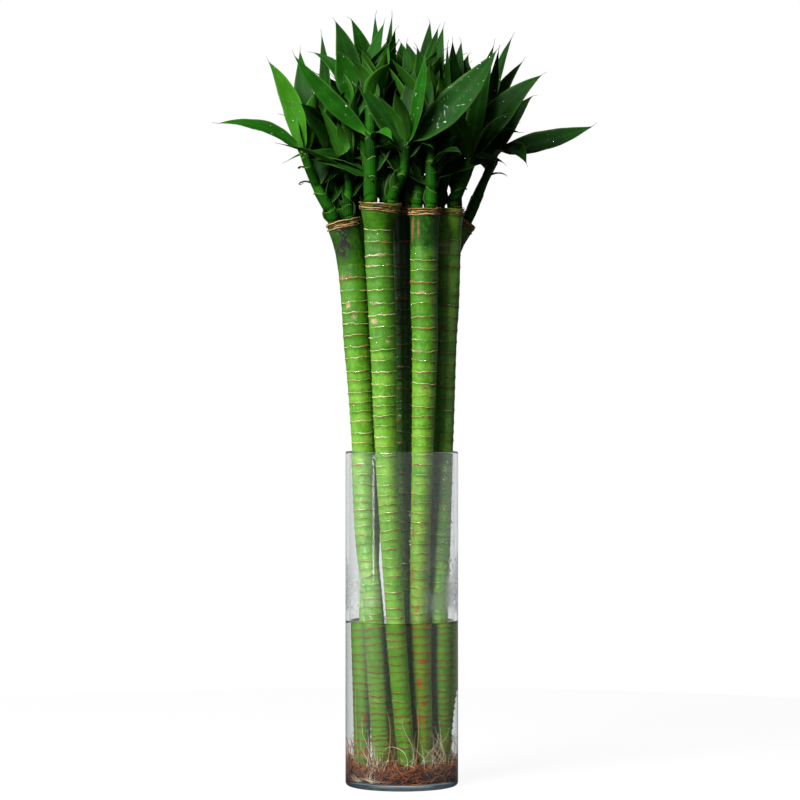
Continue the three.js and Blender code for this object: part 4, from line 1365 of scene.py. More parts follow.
CANES = (
    Cane("a", 1.03, 14.5, (
        (-16, -29, 21), (-23.5, -26.5, 145), (-31, -19, 220), (-34, -12, 296),
        (-36.6, -12, 351), (-39.5, -13, 392), (-41.4, -14, 430), (-45, -14, 467),
        (-52.4, -14, 499.5),
    ), (
        Mark(-52, 489, 8, 6, bruise=1.7), Mark(-51, 476, 7, 7, bruise=1.7),
        Mark(-46, 450, 2.5, 2, cork=0.9, rust=0.9), Mark(-52, 449, 4, 2.5, cork=0.9),
        Mark(-47, 425, 2, 3, cork=0.9), Mark(-42, 414, 2.5, 1.6, cork=0.9),
    ), joint=41, joint_tone=-0.2, faint=True, rust=0.2, beads=40, spacing=(4.2, 12)),
    Cane("b", 1, 17.6, (
        (4.6, -31, 14), (-5, -30.5, 145), (-13.5, -32, 296), (-16, -34, 386),
        (-20.1, -36, 483), (-19, -38, 514),
    ), (
        Mark(-14, 480, 2, 2, cork=0.9, rust=1.0), Mark(-12.5, 460, 2, 1.8, cork=0.8, rust=0.3),
        Mark(-22, 451, 7, 0.8, cork=0.9), Mark(-24, 410, 4, 2, cork=0.9), Mark(-12, 392, 3, 1.6, cork=0.8),
    ), joint=24, rust=0.15, beads=80),
    Cane("c", 0.98, 13.6, (
        (17, -20, 18), (14.6, -21, 145), (18, -27, 296), (20.1, -30, 392),
        (19.3, -32, 430), (19.9, -34, 509.5),
    ), (
        Mark(23.5, 490, 1.5, 4, bruise=1.2), Mark(9.5, 491, 1.0, 13, cork=0.95, rust=0.7),
        Mark(14.5, 493, 1.0, 9, cork=0.8, rust=0.9), Mark(26, 428, 2.2, 2.2, cork=0.8, rust=1.2),
        Mark(18, 436, 5, 1.4, cork=0.9, rust=0.2), Mark(20, 352, 5, 1.6, cork=0.9),
        Mark(17, 112, 6, 3, stain=1.0), Mark(14, 94, 4, 5, stain=1.0),
        Mark(18, 76, 5, 3, stain=0.9), Mark(13, 62, 5, 4, stain=1.0), Mark(12, 225, 5, 6, stain=0.7),
        Mark(9, 186, 4, 8, stain=0.8), Mark(12, 158, 5, 5, stain=0.8),
    ), joint=34, joint_tone=-0.3, stains=0.45, faint=True, rust=0.35, beads=45),
    # d's tone of 0.38 lightens it where c's shadow falls, painted light; its share below zero darkens its
    # lower part, painted shade.
    Cane("d", 1, 14.8, (
        (29, -6, 18), (32, -10, 145), (35.6, -2, 296), (37, -2, 392),
        (38.8, -2, 430), (40, -2, 511),
    ), (
        Mark(36, 478, 9, 1.6, cork=1.0, rust=-0.5), Mark(38, 472, 7, 1.5, cork=0.9, rust=-0.4),
        Mark(36, 406, 3, 3, cork=0.8, rust=0.5),
    ), joint=28, ripening_and_shade=-0.1, rust=0.4, tone=0.38, spacing=(4.2, 12)),
    Cane("e", 0.96, 14, (
        (20, 20, 13), (23, 24, 145), (26, 26, 296), (27, 27, 400),
        (31, 30, 437), (40, 33, 474), (52.8, 36, 503),
    ), sides=32, rust=0.6),
    # f stands in the gap behind b and c; its tone of -0.6 is painted shade.
    Cane("f", 1, 14, (
        (4, 4, 14), (3, 5, 145), (3, 5, 296), (3, 6, 430),
        (2, 6, 512),
    ), sides=24, rust=0.6, tone=-0.6),
    Cane("g", 0.98, 14, (
        (-29.5, -12, 12), (-30, -5, 145), (-27, 22, 296), (-30, 28, 430),
        (-36, 34, 505),
    ), (
        Mark(-28, 62, 4, 5, stain=1.0), Mark(-28, 31, 5, 5, stain=1.0),
    ), sides=30, rust=0.5),
    Cane("h", 0.95, 13.4, (
        (-4, 26, 13), (-5, 30, 145), (-5, 35, 296), (-2, 44, 430),
        (-3, 47, 505),
    ), sides=24, rust=0.6),
)


PLANS = {
    "a1": Plan((-8, -2), 5, ((-72, 524, -14), (-80, 541, -15), (-88, 562, -16)), (
        Leaf((-168, 586, -30), 19, 11, Face.FRONT_UP, tone=0.36, dew=14),
        Leaf((-122, 646, -32), 22, 9, Face.FRONT_LEFT, tone=0.62, dew=50),
        Leaf((-91, 656, 12), 20, 6, tone=0.2),
    ), fan=1, curls=((0.8, 17, 2.6), (0.6, 28, 2.5))),
    "a2": Plan((-1, 8), 4.2, ((-61, 534, -4), (-66, 556, -2), (-68, 572, 0)), (
        Leaf((-72, 671, 6), 15, 5, Face.FRONT_LEFT, tone=0.12),
        Leaf((-90, 602, -48), 17, 9, Face.FRONT_UP, tone=0.4),
    ), fan=2, skirt=1),
    "a3": Plan((7, -4), 4.4, ((-47, 532, -20), (-48, 545, -22)), (
        Leaf((-113, 570, -52), 17, 3, Face.UP, tone=0.5),
        Leaf((-58, 590, -60), 16, 6, Face.FRONT_UP, tone=0.3),
    ), fan=1),
    "b1": Plan((-8.5, -4), 6, ((-28, 555, -42), (-28, 585, -42), (-29, 607, -40)), (
        Leaf((-99, 652, -58), 17, -3, Face.FRONT_LEFT, 0.68, tone=0.4, dew=12),
        Leaf((-8, 571, -84), 14, 8, Face.FRONT_UP, 0.68, tone=0.5),
        Leaf((-25, 634, -46), 9, 0, tone=0.6),
    ), fan=1),
    "b2": Plan((4, 8), 5, ((-17, 552, -26), (-19, 580, -24), (-23, 604, -22)), (
        Leaf((-11, 661, -26), 15, 0, Face.FRONT_LEFT, tone=0.45),
        Leaf((12, 640, -12), 18, 6, Face.UP, tone=0.2),
    ), fan=1),
    "b3": Plan((11, -4), 4.8, ((1, 543, -46), (3, 560, -48), (6, 571, -49)), (
        Leaf((87, 657, -66), 30, -6, tone=0.18, dew=90),
        Leaf((21, 654, -74), 17, -5, Face.FRONT_LEFT, tone=0.4, dew=20),
        Leaf((12, 662, -54), 25, -13, tone=0.16, dew=16),
        Leaf((-43, 615, -72), 18, 3, tone=0.1),
    )),
    "b4": Plan((-7, 9), 4.4, ((-30, 550, -24), (-38, 580, -22), (-43, 606, -20)), (
        Leaf((-59, 655, -34), 23, 3, tone=0.36, dew=35),
        Leaf((-61, 682, -22), 23, 5, tone=0.1),
        Leaf((-83, 652, -6), 16, 12, Face.FRONT_UP, tone=0.25),
        Leaf((-14, 683, -18), 17, 3, tone=0.3),
    )),
    "c1": Plan((6, -3), 5, ((26, 537, -36), (25, 560, -34), (24, 594, -30)), (
        Leaf((31, 661, -34), 18, 2),
        Leaf((54, 560, -84), 16, 8, Face.FRONT_UP, 0.5),
        Leaf((38, 678, -22), 17, 3),
    ), fan=1),
    "c2": Plan((4, 7), 4.5, ((30, 540, -18), (38, 566, -14), (46, 586, -12)), (
        Leaf((45, 664, -18), 18, 0, Face.FRONT_RIGHT),
        Leaf((40, 660, -32), 11, -3, Face.FRONT_LEFT),
        Leaf((54, 666, -4), 17, 2),
    ), fan=1, skirt=2),
    "c3": Plan((-6.5, 2), 5, ((15, 540, -24), (15, 566, -20), (13, 588, -16)), (
        Leaf((1, 661, -10), 16, 3),
        Leaf((34, 680, -10), 16, 4),
    ), fan=1, skirt=3),
    "d1": Plan((5, -6), 4.8, ((50, 526, -12), (56, 542, -16), (61, 556, -18)), (
        Leaf((129, 633, -36), 28, 8, tone=0.1, dew=20),
        Leaf((83, 659, -24), 18, 6),
        Leaf((96, 596, -74), 18, 10, Face.FRONT_UP),
    )),
    "d2": Plan((7, 5), 4.8, ((54, 534, 6), (65, 560, 8), (74, 581, 9)), (
        Leaf((100, 668, 6), 15, 4, Face.FRONT_LEFT),
        Leaf((86, 653, -4), 17, 3, Face.FRONT_RIGHT),
        Leaf((111, 646, 18), 14, 6),
    ), fan=1, skirt=1),
    "d3": Plan((-6.5, 4), 5, ((38, 540, 8), (44, 572, 12), (51, 600, 15)), (
        Leaf((60, 651, 4), 16, 3),
    ), fan=3, skirt=3),
    "e1": Plan((6, -5), 4.6, ((70, 528, 30), (78, 548, 30), (84, 563, 29)), (
        Leaf((174, 586, 22), 21, -2, tone=0.14, dew=12),
        Leaf((119, 614, 30), 18, 5),
        Leaf((112, 548, -28), 22, 14, Face.FRONT_UP, tone=0.1),
    ), fan=1, curls=((0.68, 24, 1.5),)),
    "e2": Plan((5, 6.6), 4.8, ((70, 530, 52), (84, 556, 60)), fan=5),
    "e3": Plan((-7, 3), 4.8, ((47, 544, 46), (51, 590, 56)), fan=5, skirt=2),
    "f1": Plan((-7, -3), 5.2, ((-9, 550, 2), (-13, 580, 2), (-24, 606, 2)), (
        Leaf((-47, 684, -4), 18, 4),
        Leaf((-24, 687, 10), 14, 2, Face.FRONT_LEFT),
        Leaf((-8, 688, 4), 8, 0),
        Leaf((-5, 674, -8), 17, 3, Face.FRONT_RIGHT),
    ), fan=1, skirt=2),
    "f2": Plan((6, -5), 5.2, ((10, 550, 0), (16, 580, 2), (18, 604, 4)), (
        Leaf((26, 684, 0), 14, 3),
        Leaf((3, 664, 14), 18, 4),
    ), fan=2, skirt=3),
    "f3": Plan((1, 7.4), 5.4, ((2, 550, 18), (2, 590, 24)), fan=5, skirt=3),
    "g1": Plan((-8, 0), 5.2, ((-54, 535, 42), (-72, 572, 48)), fan=6, skirt=2),
    "g2": Plan((2, 7.6), 5.2, ((-38, 540, 52), (-42, 582, 64)), fan=6),
    "g3": Plan((5, -6), 5.2, ((-32, 550, 28), (-40, 598, 28)), fan=4, skirt=3),
    "h1": Plan((-6.8, 3), 5.2, ((-12, 535, 60), (-16, 574, 74)), fan=6),
    "h2": Plan((6.8, 3), 5.2, ((8, 535, 60), (20, 568, 76)), fan=6),
    "h3": Plan((0, -7), 5.2, ((-6, 560, 44), (-10, 606, 46)), fan=4, skirt=3),
}


class Dew:
    """Water beads that lie on leaves, canes and glass."""

    ROWS = (0.0, 0.45, 0.82, 1.0)
    SIDES = 8

    def __init__(self) -> None:
        """Starts with no beads."""
        self.beads = Surface()
        self.draws = Draws(DEW_SEED)

    def add(self, place: np.ndarray, normal: np.ndarray, radius: float, plump: float = 0.62) -> None:
        """Adds a bead that sits on a surface, and reaches a little into it.

        Args:
            place: The point of the surface.
            normal: The surface's direction there.
            radius: The bead's radius.
            plump: Its height as a share of the radius.
        """
        normal = unit(normal)
        first = unit(np.cross(normal, (0.31, 0.77, 0.55)))
        second = np.cross(normal, first)
        turns = spaced_turns(self.SIDES)
        section = first * np.cos(turns)[:, None] + second * np.sin(turns)[:, None]
        rows = [place - normal * 0.15 * radius + section * radius * 0.8]
        for share in self.ROWS[:-1]:
            height = plump * radius * share
            width = radius * math.sqrt(1 - share**2)
            rows.append(place + normal * height + section * width)
        rows.append(place + normal * plump * radius * 0.995 + section * radius * 0.12)
        self.beads.add(np.array(rows))

    def sprinkle(self, grid: np.ndarray, count: int, size: tuple[float, float]) -> None:
        """Scatters beads over a grid of surface points, whose rows and columns turn outwards.

        Args:
            grid: The surface's points, by row and column.
            count: How many beads.
            size: Their smallest and largest radius.
        """
        draws = self.draws
        rows, columns = grid.shape[:2]
        for _ in range(count):
            row = draws.next() * (rows - 1.01)
            column = draws.next() * (columns - 1.01)
            i, j = int(row), int(column)
            down, right = row - i, column - j
            corner = grid[i, j]
            along, side = grid[i + 1, j] - corner, grid[i, j + 1] - corner
            place = corner + along * down + side * right
            radius = size[0] + (size[1] - size[0]) * draws.next() ** 2.2
            self.add(place, np.cross(side, along), radius)

    def build(self) -> None:
        """Makes the beads."""
        finish = ClearMedium("dew_water", "#FDFFFE", 1.333, glint=0.25)
        self.beads.piece("water_beads", Slot.WATER, "", finish.material())


@dataclass
class Blade:
    """One leaf blade as the solids place it. They swing its tip aside, if need be, to find room for it."""

    root: np.ndarray
    tip: np.ndarray
    width: float
    bow: float
    face: np.ndarray
    start: float
    swing: np.ndarray | None = None
    drawn: bool = True
    tone: float | None = None
    dew: int = 0
    sheathed: bool = True
    rows: int = 28

    def midrib(self, shares: np.ndarray) -> tuple[np.ndarray, np.ndarray]:
        """Follows the midrib, which bows above the straight line to the tip.

        Args:
            shares: Places from the root to the tip.

        Returns:
            The points and the directions along it.
        """
        chord = self.tip - self.root
        line = unit(chord)
        lift = np.array((0.0, 0, 1)) - line * line[2]
        if lift @ lift > 1e-6:
            lift = unit(lift)
        near = self.root + chord * BOW_PLACE + lift * self.bow * BOW_SHARE
        far = self.root + chord * (1 - BOW_PLACE) + lift * self.bow * BOW_SHARE

        def point(at: np.ndarray) -> np.ndarray:
            """Returns the curve's points at shares of it."""
            t, rest = at[:, None], 1 - at[:, None]
            return rest**3 * self.root + t**3 * self.tip + 3 * rest * t * (rest * near + t * far)

        ahead = point(np.minimum(shares + Route.NUDGE, 1))
        return point(shares), unit(ahead - point(np.maximum(shares - Route.NUDGE, 0)))


def blade_shape(shares: np.ndarray) -> np.ndarray:
    """Gives a blade's share of its full width: a narrow root, widest before the middle, a drawn-out tip.

    Args:
        shares: Places from the root to the tip.

    Returns:
        The share of the width at each.
    """
    rise = np.sin(TURN / 4 * np.clip(shares / BLADE_WIDEST, 0, 1)) ** 1.2
    rest = np.clip((shares - BLADE_WIDEST) / (1 - BLADE_WIDEST), 0, 1)
    lower = DRESSED_ROOT_SHARE + (1 - DRESSED_ROOT_SHARE) * rise
    return np.where(shares < BLADE_WIDEST, lower, (1 - rest * rest) ** 1.35)


def inside_dome(tip: np.ndarray, room: float = 1.0) -> np.ndarray:
    """Returns a tip, drawn back if need be into the dome of foliage, which room makes wider."""
    reach = float(np.linalg.norm((tip - DOME_CENTRE) / DOME_RADII))
    return DOME_CENTRE + (tip - DOME_CENTRE) * room / reach if reach > room else tip


def looks_in(flat: np.ndarray) -> np.ndarray:
    """Returns how the face of a leaf looks that heads outwards: up, and a little back at its stem."""
    return np.array((-DRAWN_FACE * flat[0], -DRAWN_FACE * flat[1], 1))


@dataclass
class Shoot:
    """One leafy shoot: a stem wrapped in sheaths, and its leaves.

    The solids have its measured and drawn leaves. Its young leaves, low leaves and scales stand among them.
    """

    name: str
    plan: Plan
    cane: Cane
    draws: Draws
    dew: Dew
    green: Surface = field(default_factory=lambda: Surface(*BLADE_TRAITS))
    chance: Draws = field(init=False)
    route: Route = field(init=False)
    crown: np.ndarray = field(init=False)
    blades: list[Blade] = field(init=False)
    young: int = 3
    low_leaves: int = 4
    withered: float = 0.3
    bracts: int = 4
    fullness: float = 1.14
    thread_from: float = 0.955
    twist: float = 13.0
    hook: float = 3.2
    clasp_fold: float = math.radians(52)
    edge_waves: tuple = ((2.3, 0.55), (5.1, 0.28), (9.0, 0.1))
    foot_sheaths: tuple = ((0.0, 0.2), (0.1, 0.34))

    def __post_init__(self) -> None:
        """Lays the stem and plans the leaves in the order that the solids draw them."""
        self.chance = Draws(name_number(self.name) * SHOOT_SEED + ord(self.name[0]))
        origin, along, right, back = self.cane.route.frame(self.cane.route.length + GAP)
        seat = origin + right * self.plan.seat[0] + back * self.plan.seat[1]
        self.route = Route([seat, seat + along * STEM_START] + [seen(*point) for point in self.plan.stem])
        self.crown = self.route.origin(self.route.length)
        self.blades = []
        for i, leaf in enumerate(self.plan.leaves):
            tip = seen(*leaf.tip)
            start = leaf.start - ROOT_SPACING * i
            root = self.root_at(start, tip)
            face, swing = np.array(leaf.face.value, float), np.array((0.0, 1, 0))
            blade = Blade(root, tip, leaf.width, leaf.bow, face, start, swing, False, leaf.tone, leaf.dew)
            self.blades.append(blade)
        outward = math.degrees(math.atan2(self.crown[1], self.crown[0]))
        for i in range(self.plan.fan):
            heading = outward + FAN_SPREAD * (i - (self.plan.fan - 1) / 2)
            start = 1 - ROOT_SPACING * (len(self.plan.leaves) + i)
            self.draw_leaf(heading, FAN_RISES[i % len(FAN_RISES)], FAN_LENGTH, start)
        for i in range(self.plan.skirt):
            heading = 360 * (i + self.draws.next()) / self.plan.skirt
            start = SKIRT_ROOTS[i % len(SKIRT_ROOTS)]
            self.draw_leaf(heading, SKIRT_RISES[i % len(SKIRT_RISES)], SKIRT_LENGTH, start)

    def stem_radius(self, share: Any) -> Any:
        """Returns the stem's radius at a share of its length."""
        return self.plan.radius * (1 - (1 - STEM_TIP_SHARE) * np.clip(share, 0, 1) ** 1.5)

    def root_at(self, share: float, tip: np.ndarray) -> np.ndarray:
        """Finds a leaf's root inside the stem, towards the side that it leaves on.

        Args:
            share: The share of the stem that the leaf leaves it at.
            tip: The leaf's tip.

        Returns:
            The root.
        """
        origin = self.route.origin(self.route.length * share - ROOT_DEPTH)
        out = tip - origin
        out[2] = 0
        return origin + unit(out) * ROOT_OFFSET * self.stem_radius(share)

    def reach_out(
        self, turn: float, slope: float, reach: float, start: float
    ) -> tuple[np.ndarray, np.ndarray, np.ndarray]:
        """Finds where a leaf begins and ends.

        Args:
            turn: The way that it points, in radians.
            slope: How steeply it rises, in radians.
            reach: How long it is.
            start: The share of the stem that it leaves it at.

        Returns:
            Its root, its tip and its level heading.
        """
        flat = np.array((math.cos(turn), math.sin(turn), 0))
        root = self.root_at(start, self.crown + flat * reach)
        tip = root + flat * reach * math.cos(slope)
        tip[2] += reach * math.sin(slope)
        return root, tip, flat

    def draw_leaf(self, heading: float, rise: float, length: float, start: float) -> None:
        """Plans a leaf by rule.

        Args:
            heading: The way that it points, in degrees.
            rise: How steeply it rises, in degrees.
            length: How long such a leaf is.
            start: The share of the stem that it leaves it at.
        """
        draws = self.draws
        turn = math.radians(heading + draws.around(DRAWN_TURN))
        slope = math.radians(rise + draws.around(DRAWN_SLOPE))
        root, tip, flat = self.reach_out(turn, slope, length * draws.between(*DRAWN_LENGTHS), start)
        width = self.fullness * DRAWN_WIDTH * draws.between(*DRAWN_WIDTHS)
        bow = draws.between(*DRAWN_BOWS)
        swing = np.array((-flat[1], flat[0], 0))
        self.blades.append(Blade(root, inside_dome(tip), width, bow, looks_in(flat), start, swing))

    def settle(self, blade: Blade, tree: KDTree) -> None:
        """Tries the places that the solids try for a leaf's tip, and moves it to the one that they took.

        A leaf that the solids had no room for stays where it was planned.

        Args:
            blade: The leaf.
            tree: The corners of the shoot's solid.
        """
        planned = blade.tip
        for shrink in SHRINKS:
            for lift in LIFTS:
                for i in range(SWING_TRIES):
                    steps = (i + 1) // 2 if i % 2 else -i // 2
                    tip = blade.root + (planned - blade.root) * shrink + blade.swing * steps * SWING_STEP
                    tip[2] += lift
                    tip = inside_dome(tip, DOME_ROOM) if blade.drawn else tip
                    if tree.find(Vector(tip))[2] > 0.6 * SOLID_THICKNESS:
                        continue
                    blade.tip = tip
                    along = blade.midrib(np.ones(1))[1][0]
                    normal = unit(blade.face - along * (blade.face @ along)) * SOLID_THICKNESS / 2
                    if all(tree.find(Vector(tip + side * normal))[2] < 0.05 for side in (1, -1)):
                        return
        blade.tip = planned

    def add_young(self) -> None:
        """Adds the young leaves round the crown's bud, and the low leaves and scales of inner shoots."""
        draws = Draws(name_number(self.name) * YOUNG_SEED)
        for i in range(self.young):
            turn = TURN * (i + draws.next()) / self.young
            slope = math.radians(draws.between(48, 78))
            start = 0.99 - 0.03 * i
            root, tip, flat = self.reach_out(turn, slope, draws.between(52, 84), start)
            width, bow = draws.between(15, 22), draws.between(2, 7)
            self.blades.append(Blade(root, inside_dome(tip, 0.93), width, bow, looks_in(flat), start))
        across = self.crown[0]
        if across > 60:
            return
        self.add_bracts(draws)
        quarter = TURN / 4
        limits = (quarter if across > 35 else 0.0, quarter if across < -30 else 2 * quarter)
        for _ in range(self.low_leaves):
            turn = draws.between(*limits)
            slope = math.radians(draws.between(62 if across > 45 else 10, 68))
            reach = draws.between(45, 78)
            start = draws.between(0.2, 0.75)
            root, tip, flat = self.reach_out(turn, slope, reach, start)
            face = looks_in(flat) - np.array((0, 0.4, 0.2))
            width, bow = draws.between(20, 28), draws.between(3, 9)
            blade = Blade(root, inside_dome(tip, 0.9), width, bow, face, start, sheathed=False)
            blade.tone = draws.between(0, 0.2)
            self.blades.append(blade)

    def add_bracts(self, draws: Draws) -> None:
        """Adds the short scales at the stem's foot. Half of them close the gap towards the cane's middle.

        Args:
            draws: Where the unevenness comes from.
        """
        inward = math.atan2(-self.plan.seat[1], -self.plan.seat[0])
        for i in range(self.bracts):
            close = i % 2 == 0
            turn = inward + draws.around(0.9) if close else draws.next() * TURN
            slope = math.radians(draws.between(80, 90) if close else draws.between(48, 80))
            reach = draws.between(18, 34)
            start = 0.02 if close else draws.between(0.06, 0.35)
            root, tip, flat = self.reach_out(turn, slope, reach, start)
            face = np.array((0, -1, 0.1)) if close else np.array((-flat[0], -flat[1], 0.6))
            width = draws.between(11, 15) if close else draws.between(7, 10)
            blade = Blade(root, tip, width, 2, face, start, sheathed=False, rows=16)
            blade.tone = draws.between(0, 0.1)
            self.blades.append(blade)

    def build(self, blade_skin: bpy.types.Material, stem_skin: bpy.types.Material) -> None:
        """Makes the shoot.

        Args:
            blade_skin: The finish of its leaves.
            stem_skin: The finish of its stem and sheaths.
        """
        tree = corner_tree(f"shoot_{self.name}")
        for blade in self.blades:
            self.settle(blade, tree)
        self.add_young()
        self.add_stem()
        for blade in self.blades:
            self.add_blade(blade)
        skins = (blade_skin, stem_skin)
        self.green.piece(f"leafy_shoot_{self.name}", Slot.LEAF, f"shoot_{self.name}", *skins)

    def add_stem(self) -> None:
        """Adds the stem, the scale sheaths at its foot and the sheaths of its leaves."""
        length = self.route.length
        grid = tube(self.route, self.stem_radius(np.linspace(0, 1, 12)), 30, 16)
        self.green.add(grid, finish=1, tone=0.4, across=0, pale=0, dry=0, under=0)
        for share, tall in self.foot_sheaths:
            self.add_sheath(share, share + tall, self.chance.next() * TURN, 0.2, 0.5)
        _, _, right, _ = self.route.frame(length / 2)
        outer = 0.0 if right[0] * self.route.origin(0)[0] > 0 else TURN / 2
        for share, reach, bend in self.plan.curls:
            self.add_curl(share, outer, reach, bend)
        sheathed = [blade for blade in self.blades if blade.sheathed]
        for level, blade in enumerate(sorted(sheathed, key=lambda blade: blade.start)):
            out = blade.tip - blade.root
            _, _, right, back = self.route.frame(length * blade.start)
            turn = math.atan2(out @ back, out @ right)
            low = max(blade.start - self.chance.between(0.3, 0.42), 0.02)
            self.add_sheath(low, min(blade.start, 0.985), turn, 0.06 + 0.03 * level, 0.1)

    def add_sheath(self, low: float, high: float, turn: float, lift: float, dry: float) -> None:
        """Adds one sheath that wraps the stem and ends in a slanting pale edge.

        Args:
            low: The share of the stem where it starts.
            high: The share where it ends.
            turn: The side that it reaches highest on.
            lift: How far off the stem it lies.
            dry: How dry its edge is.
        """
        steps, lifts, edge, fading = np.array(SHEATH_SECTION).T
        turns = spaced_turns(20)
        length = self.route.length
        rise = (0.5 + 0.5 * np.cos(turns - turn)) ** 1.6 * self.chance.between(5, 10)
        bottom = low * length
        top = high * length - 4 + rise + 0.3 * np.sin(3 * turns + self.chance.next() * TURN)
        top = np.maximum(top, bottom + 2)[:, None]
        places = bottom + (top - bottom) * steps
        radii = self.stem_radius(places / length) + lift + lifts * 0.45
        grid = ring_points(self.route, places, radii, turns[:, None])
        # The section's lightness darkens the foot, where the sheath tucks in, as painted shade.
        tone = 0.16 + self.chance.around(0.16) + fading
        across = (turns / TURN * 6)[:, None]
        traits = {"tone": tone, "across": across, "pale": edge, "dry": edge * dry, "under": 0}
        self.green.add(grid, closed=True, finish=1, **traits)
        if self.chance.next() < self.withered:
            self.add_curl(high, turn, self.chance.between(3, 8), self.chance.between(1.2, 3.6))

    def add_curl(self, share: float, turn: float, reach: float, bend: float) -> None:
        """Adds the dry end of an old sheath, which curls away from the stem.

        Args:
            share: The share of the stem's length where it leaves.
            turn: The side of the stem that it is on.
            reach: How long it is.
            bend: How far it turns over its length, in radians.
        """
        origin, _, right, back = self.route.frame(self.route.length * share)
        out = right * math.cos(turn) + back * math.sin(turn)
        shares = np.linspace(0, 1, 9)
        away = reach * np.sin(bend * shares) / bend + self.stem_radius(share) * 0.9
        rise = reach * (0.8 * shares - (1 - np.cos(bend * shares)) / bend)
        line = origin + out * away[:, None] + np.array((0, 0, 1)) * rise[:, None]
        grid = tube(Route(line), (1.0, 0.85, 0.6, 0.2), 16, 6)
        self.green.add(grid, finish=1, tone=0.05, across=0, pale=0, dry=0.3, under=0)

    def add_blade(self, blade: Blade) -> None:
        """Adds one leaf: a soft channel that clasps the stem, waves a little and dries at its hooked tip.

        Half of its beads are fine ones all over it and half are larger ones nearer its root.

        Args:
            blade: The leaf.
        """
        rows, columns = (blade.rows, 7) if blade.drawn else (38, 9)
        shares = np.concatenate([np.linspace(0, 0.9, rows - 8), np.linspace(0.915, 1, 8)])
        middle, along = blade.midrib(shares)
        face = unit(blade.face - along * (along @ blade.face)[:, None])
        level = np.cross(along, face)
        twist = math.radians(self.chance.around(self.twist)) * shares[:, None] ** 1.5
        side = level * np.cos(twist) + face * np.sin(twist)
        normal = (face * np.cos(twist) - level * np.sin(twist))[:, None]
        hook = self.chance.around(self.hook) * smooth(0.9, 1, shares) ** 2
        middle = middle + side * hook[:, None]
        clasp = 1 - smooth(0, 0.14, shares)
        half = blade.width / 2 * blade_shape(np.minimum(shares / self.thread_from, 1))
        half = np.maximum(half, 0.3 - 0.2 * smooth(0.9, 1, shares))
        half = np.maximum(half, clasp * self.stem_radius(blade.start) * 1.05)
        fold = BLADE_FOLD * (1 - 0.4 * smooth(0.3, 0.8, shares)) + self.clasp_fold * clasp
        across = np.linspace(-1, 1, columns)
        channel = np.sqrt(across**2 + 0.02) - math.sqrt(0.02)
        lift = np.sin(fold)[:, None] * half[:, None] * channel
        lift = lift + self.edge_wave(blade, shares, across, half)
        spread = half[:, None] * np.cos(fold)[:, None] * across
        keel = np.exp(-((across / 0.1) ** 2)) * 0.5
        thick = (0.26 + keel) * (1 - 0.75 * shares[:, None])
        thin_edge = 1 - 0.55 * np.abs(across) ** 4
        sheet = middle[:, None] + side[:, None] * spread[..., None]
        lower = sheet + normal * (lift - thick * thin_edge)[..., None]
        upper = sheet + normal * (lift + 0.14 * thin_edge)[..., None]
        fine = blade.dew // 2
        self.dew.sprinkle(upper[4:-8], fine, (0.3, 0.8))
        near = upper[7 : len(upper) // 2, 1:-1]
        self.dew.sprinkle(near, blade.dew - fine, (0.45, 1.3) if blade.dew > 80 else (0.4, 1.1))
        grid = np.concatenate([upper, lower[:, ::-1]], axis=1)
        self.green.add(grid, **self.dress(blade, shares, across, clasp))

    def edge_wave(self, blade: Blade, shares: np.ndarray, across: np.ndarray, half: np.ndarray) -> np.ndarray:
        """Lets each edge of a blade wave up and down.

        Args:
            blade: The leaf.
            shares: Places from the root to the tip.
            across: Places from one edge to the other.
            half: Half the width at each of the shares.

        Returns:
            The lift of each point.
        """
        reach = float(np.linalg.norm(blade.tip - blade.root))
        lift = np.zeros((len(shares), len(across)))
        for rate, size in self.edge_waves:
            pace = TURN * rate * shares * reach / 100
            for edge in (across, -across):
                wave = np.sin(pace + self.chance.next() * TURN)[:, None] * np.clip(edge, 0, 1) ** 1.5
                lift += size * wave
        return lift * (half / (0.5 * DRAWN_WIDTH) * smooth(0.08, 0.3, shares))[:, None]

    def dress(
        self, blade: Blade, shares: np.ndarray, across: np.ndarray, clasp: np.ndarray
    ) -> dict[str, np.ndarray]:
        """Colours a blade: painted light on the window's side and in front, pale at its root and edges.

        Args:
            blade: The leaf.
            shares: Places from the root to the tip.
            across: Places from one edge to the other.
            clasp: How closely it clasps the stem at each of the shares.

        Returns:
            The numbers that the leaf skin reads, by name.
        """
        # Painted light and shade: a leaf to the left, on the window's side, or in front is drawn lighter, one
        # to the right or back darker.
        painted_light = np.interp(blade.tip[0], (-60, 70), (0.4, 0.14))
        painted_light *= np.interp(blade.tip[1], (-50, 40), (1.1, 0.4))
        tone = blade.tone if blade.tone is not None else self.chance.between(0.0, painted_light)
        both = np.concatenate([across, across[::-1]])
        # The pale edge is partly a lighter margin and partly a thin painted highlight where light catches the
        # edge.
        edge = smooth(0.95, 1.0, np.abs(both)) * 0.08
        rib = np.exp(-((both / 0.05) ** 2)) * 0.015
        dry = smooth(0.965, 0.99, shares) * self.chance.between(0.4, 1.0)
        tones = tone + 0.25 * clasp + 0.06 * smooth(0.5, 1, shares)
        pale = np.maximum(edge, rib) + 0.06 * clasp[:, None]
        under = np.repeat((0.0, 1.0), len(across))
        return dict(zip(BLADE_TRAITS, (tones[:, None], both, pale, dry[:, None], under)))


@dataclass(frozen=True)
class Glow:
    """A step of the room's light, which goes from low to high as a direction's part goes start to end."""

    part: str
    start: float
    end: float
    low: float
    high: float
    operation: str


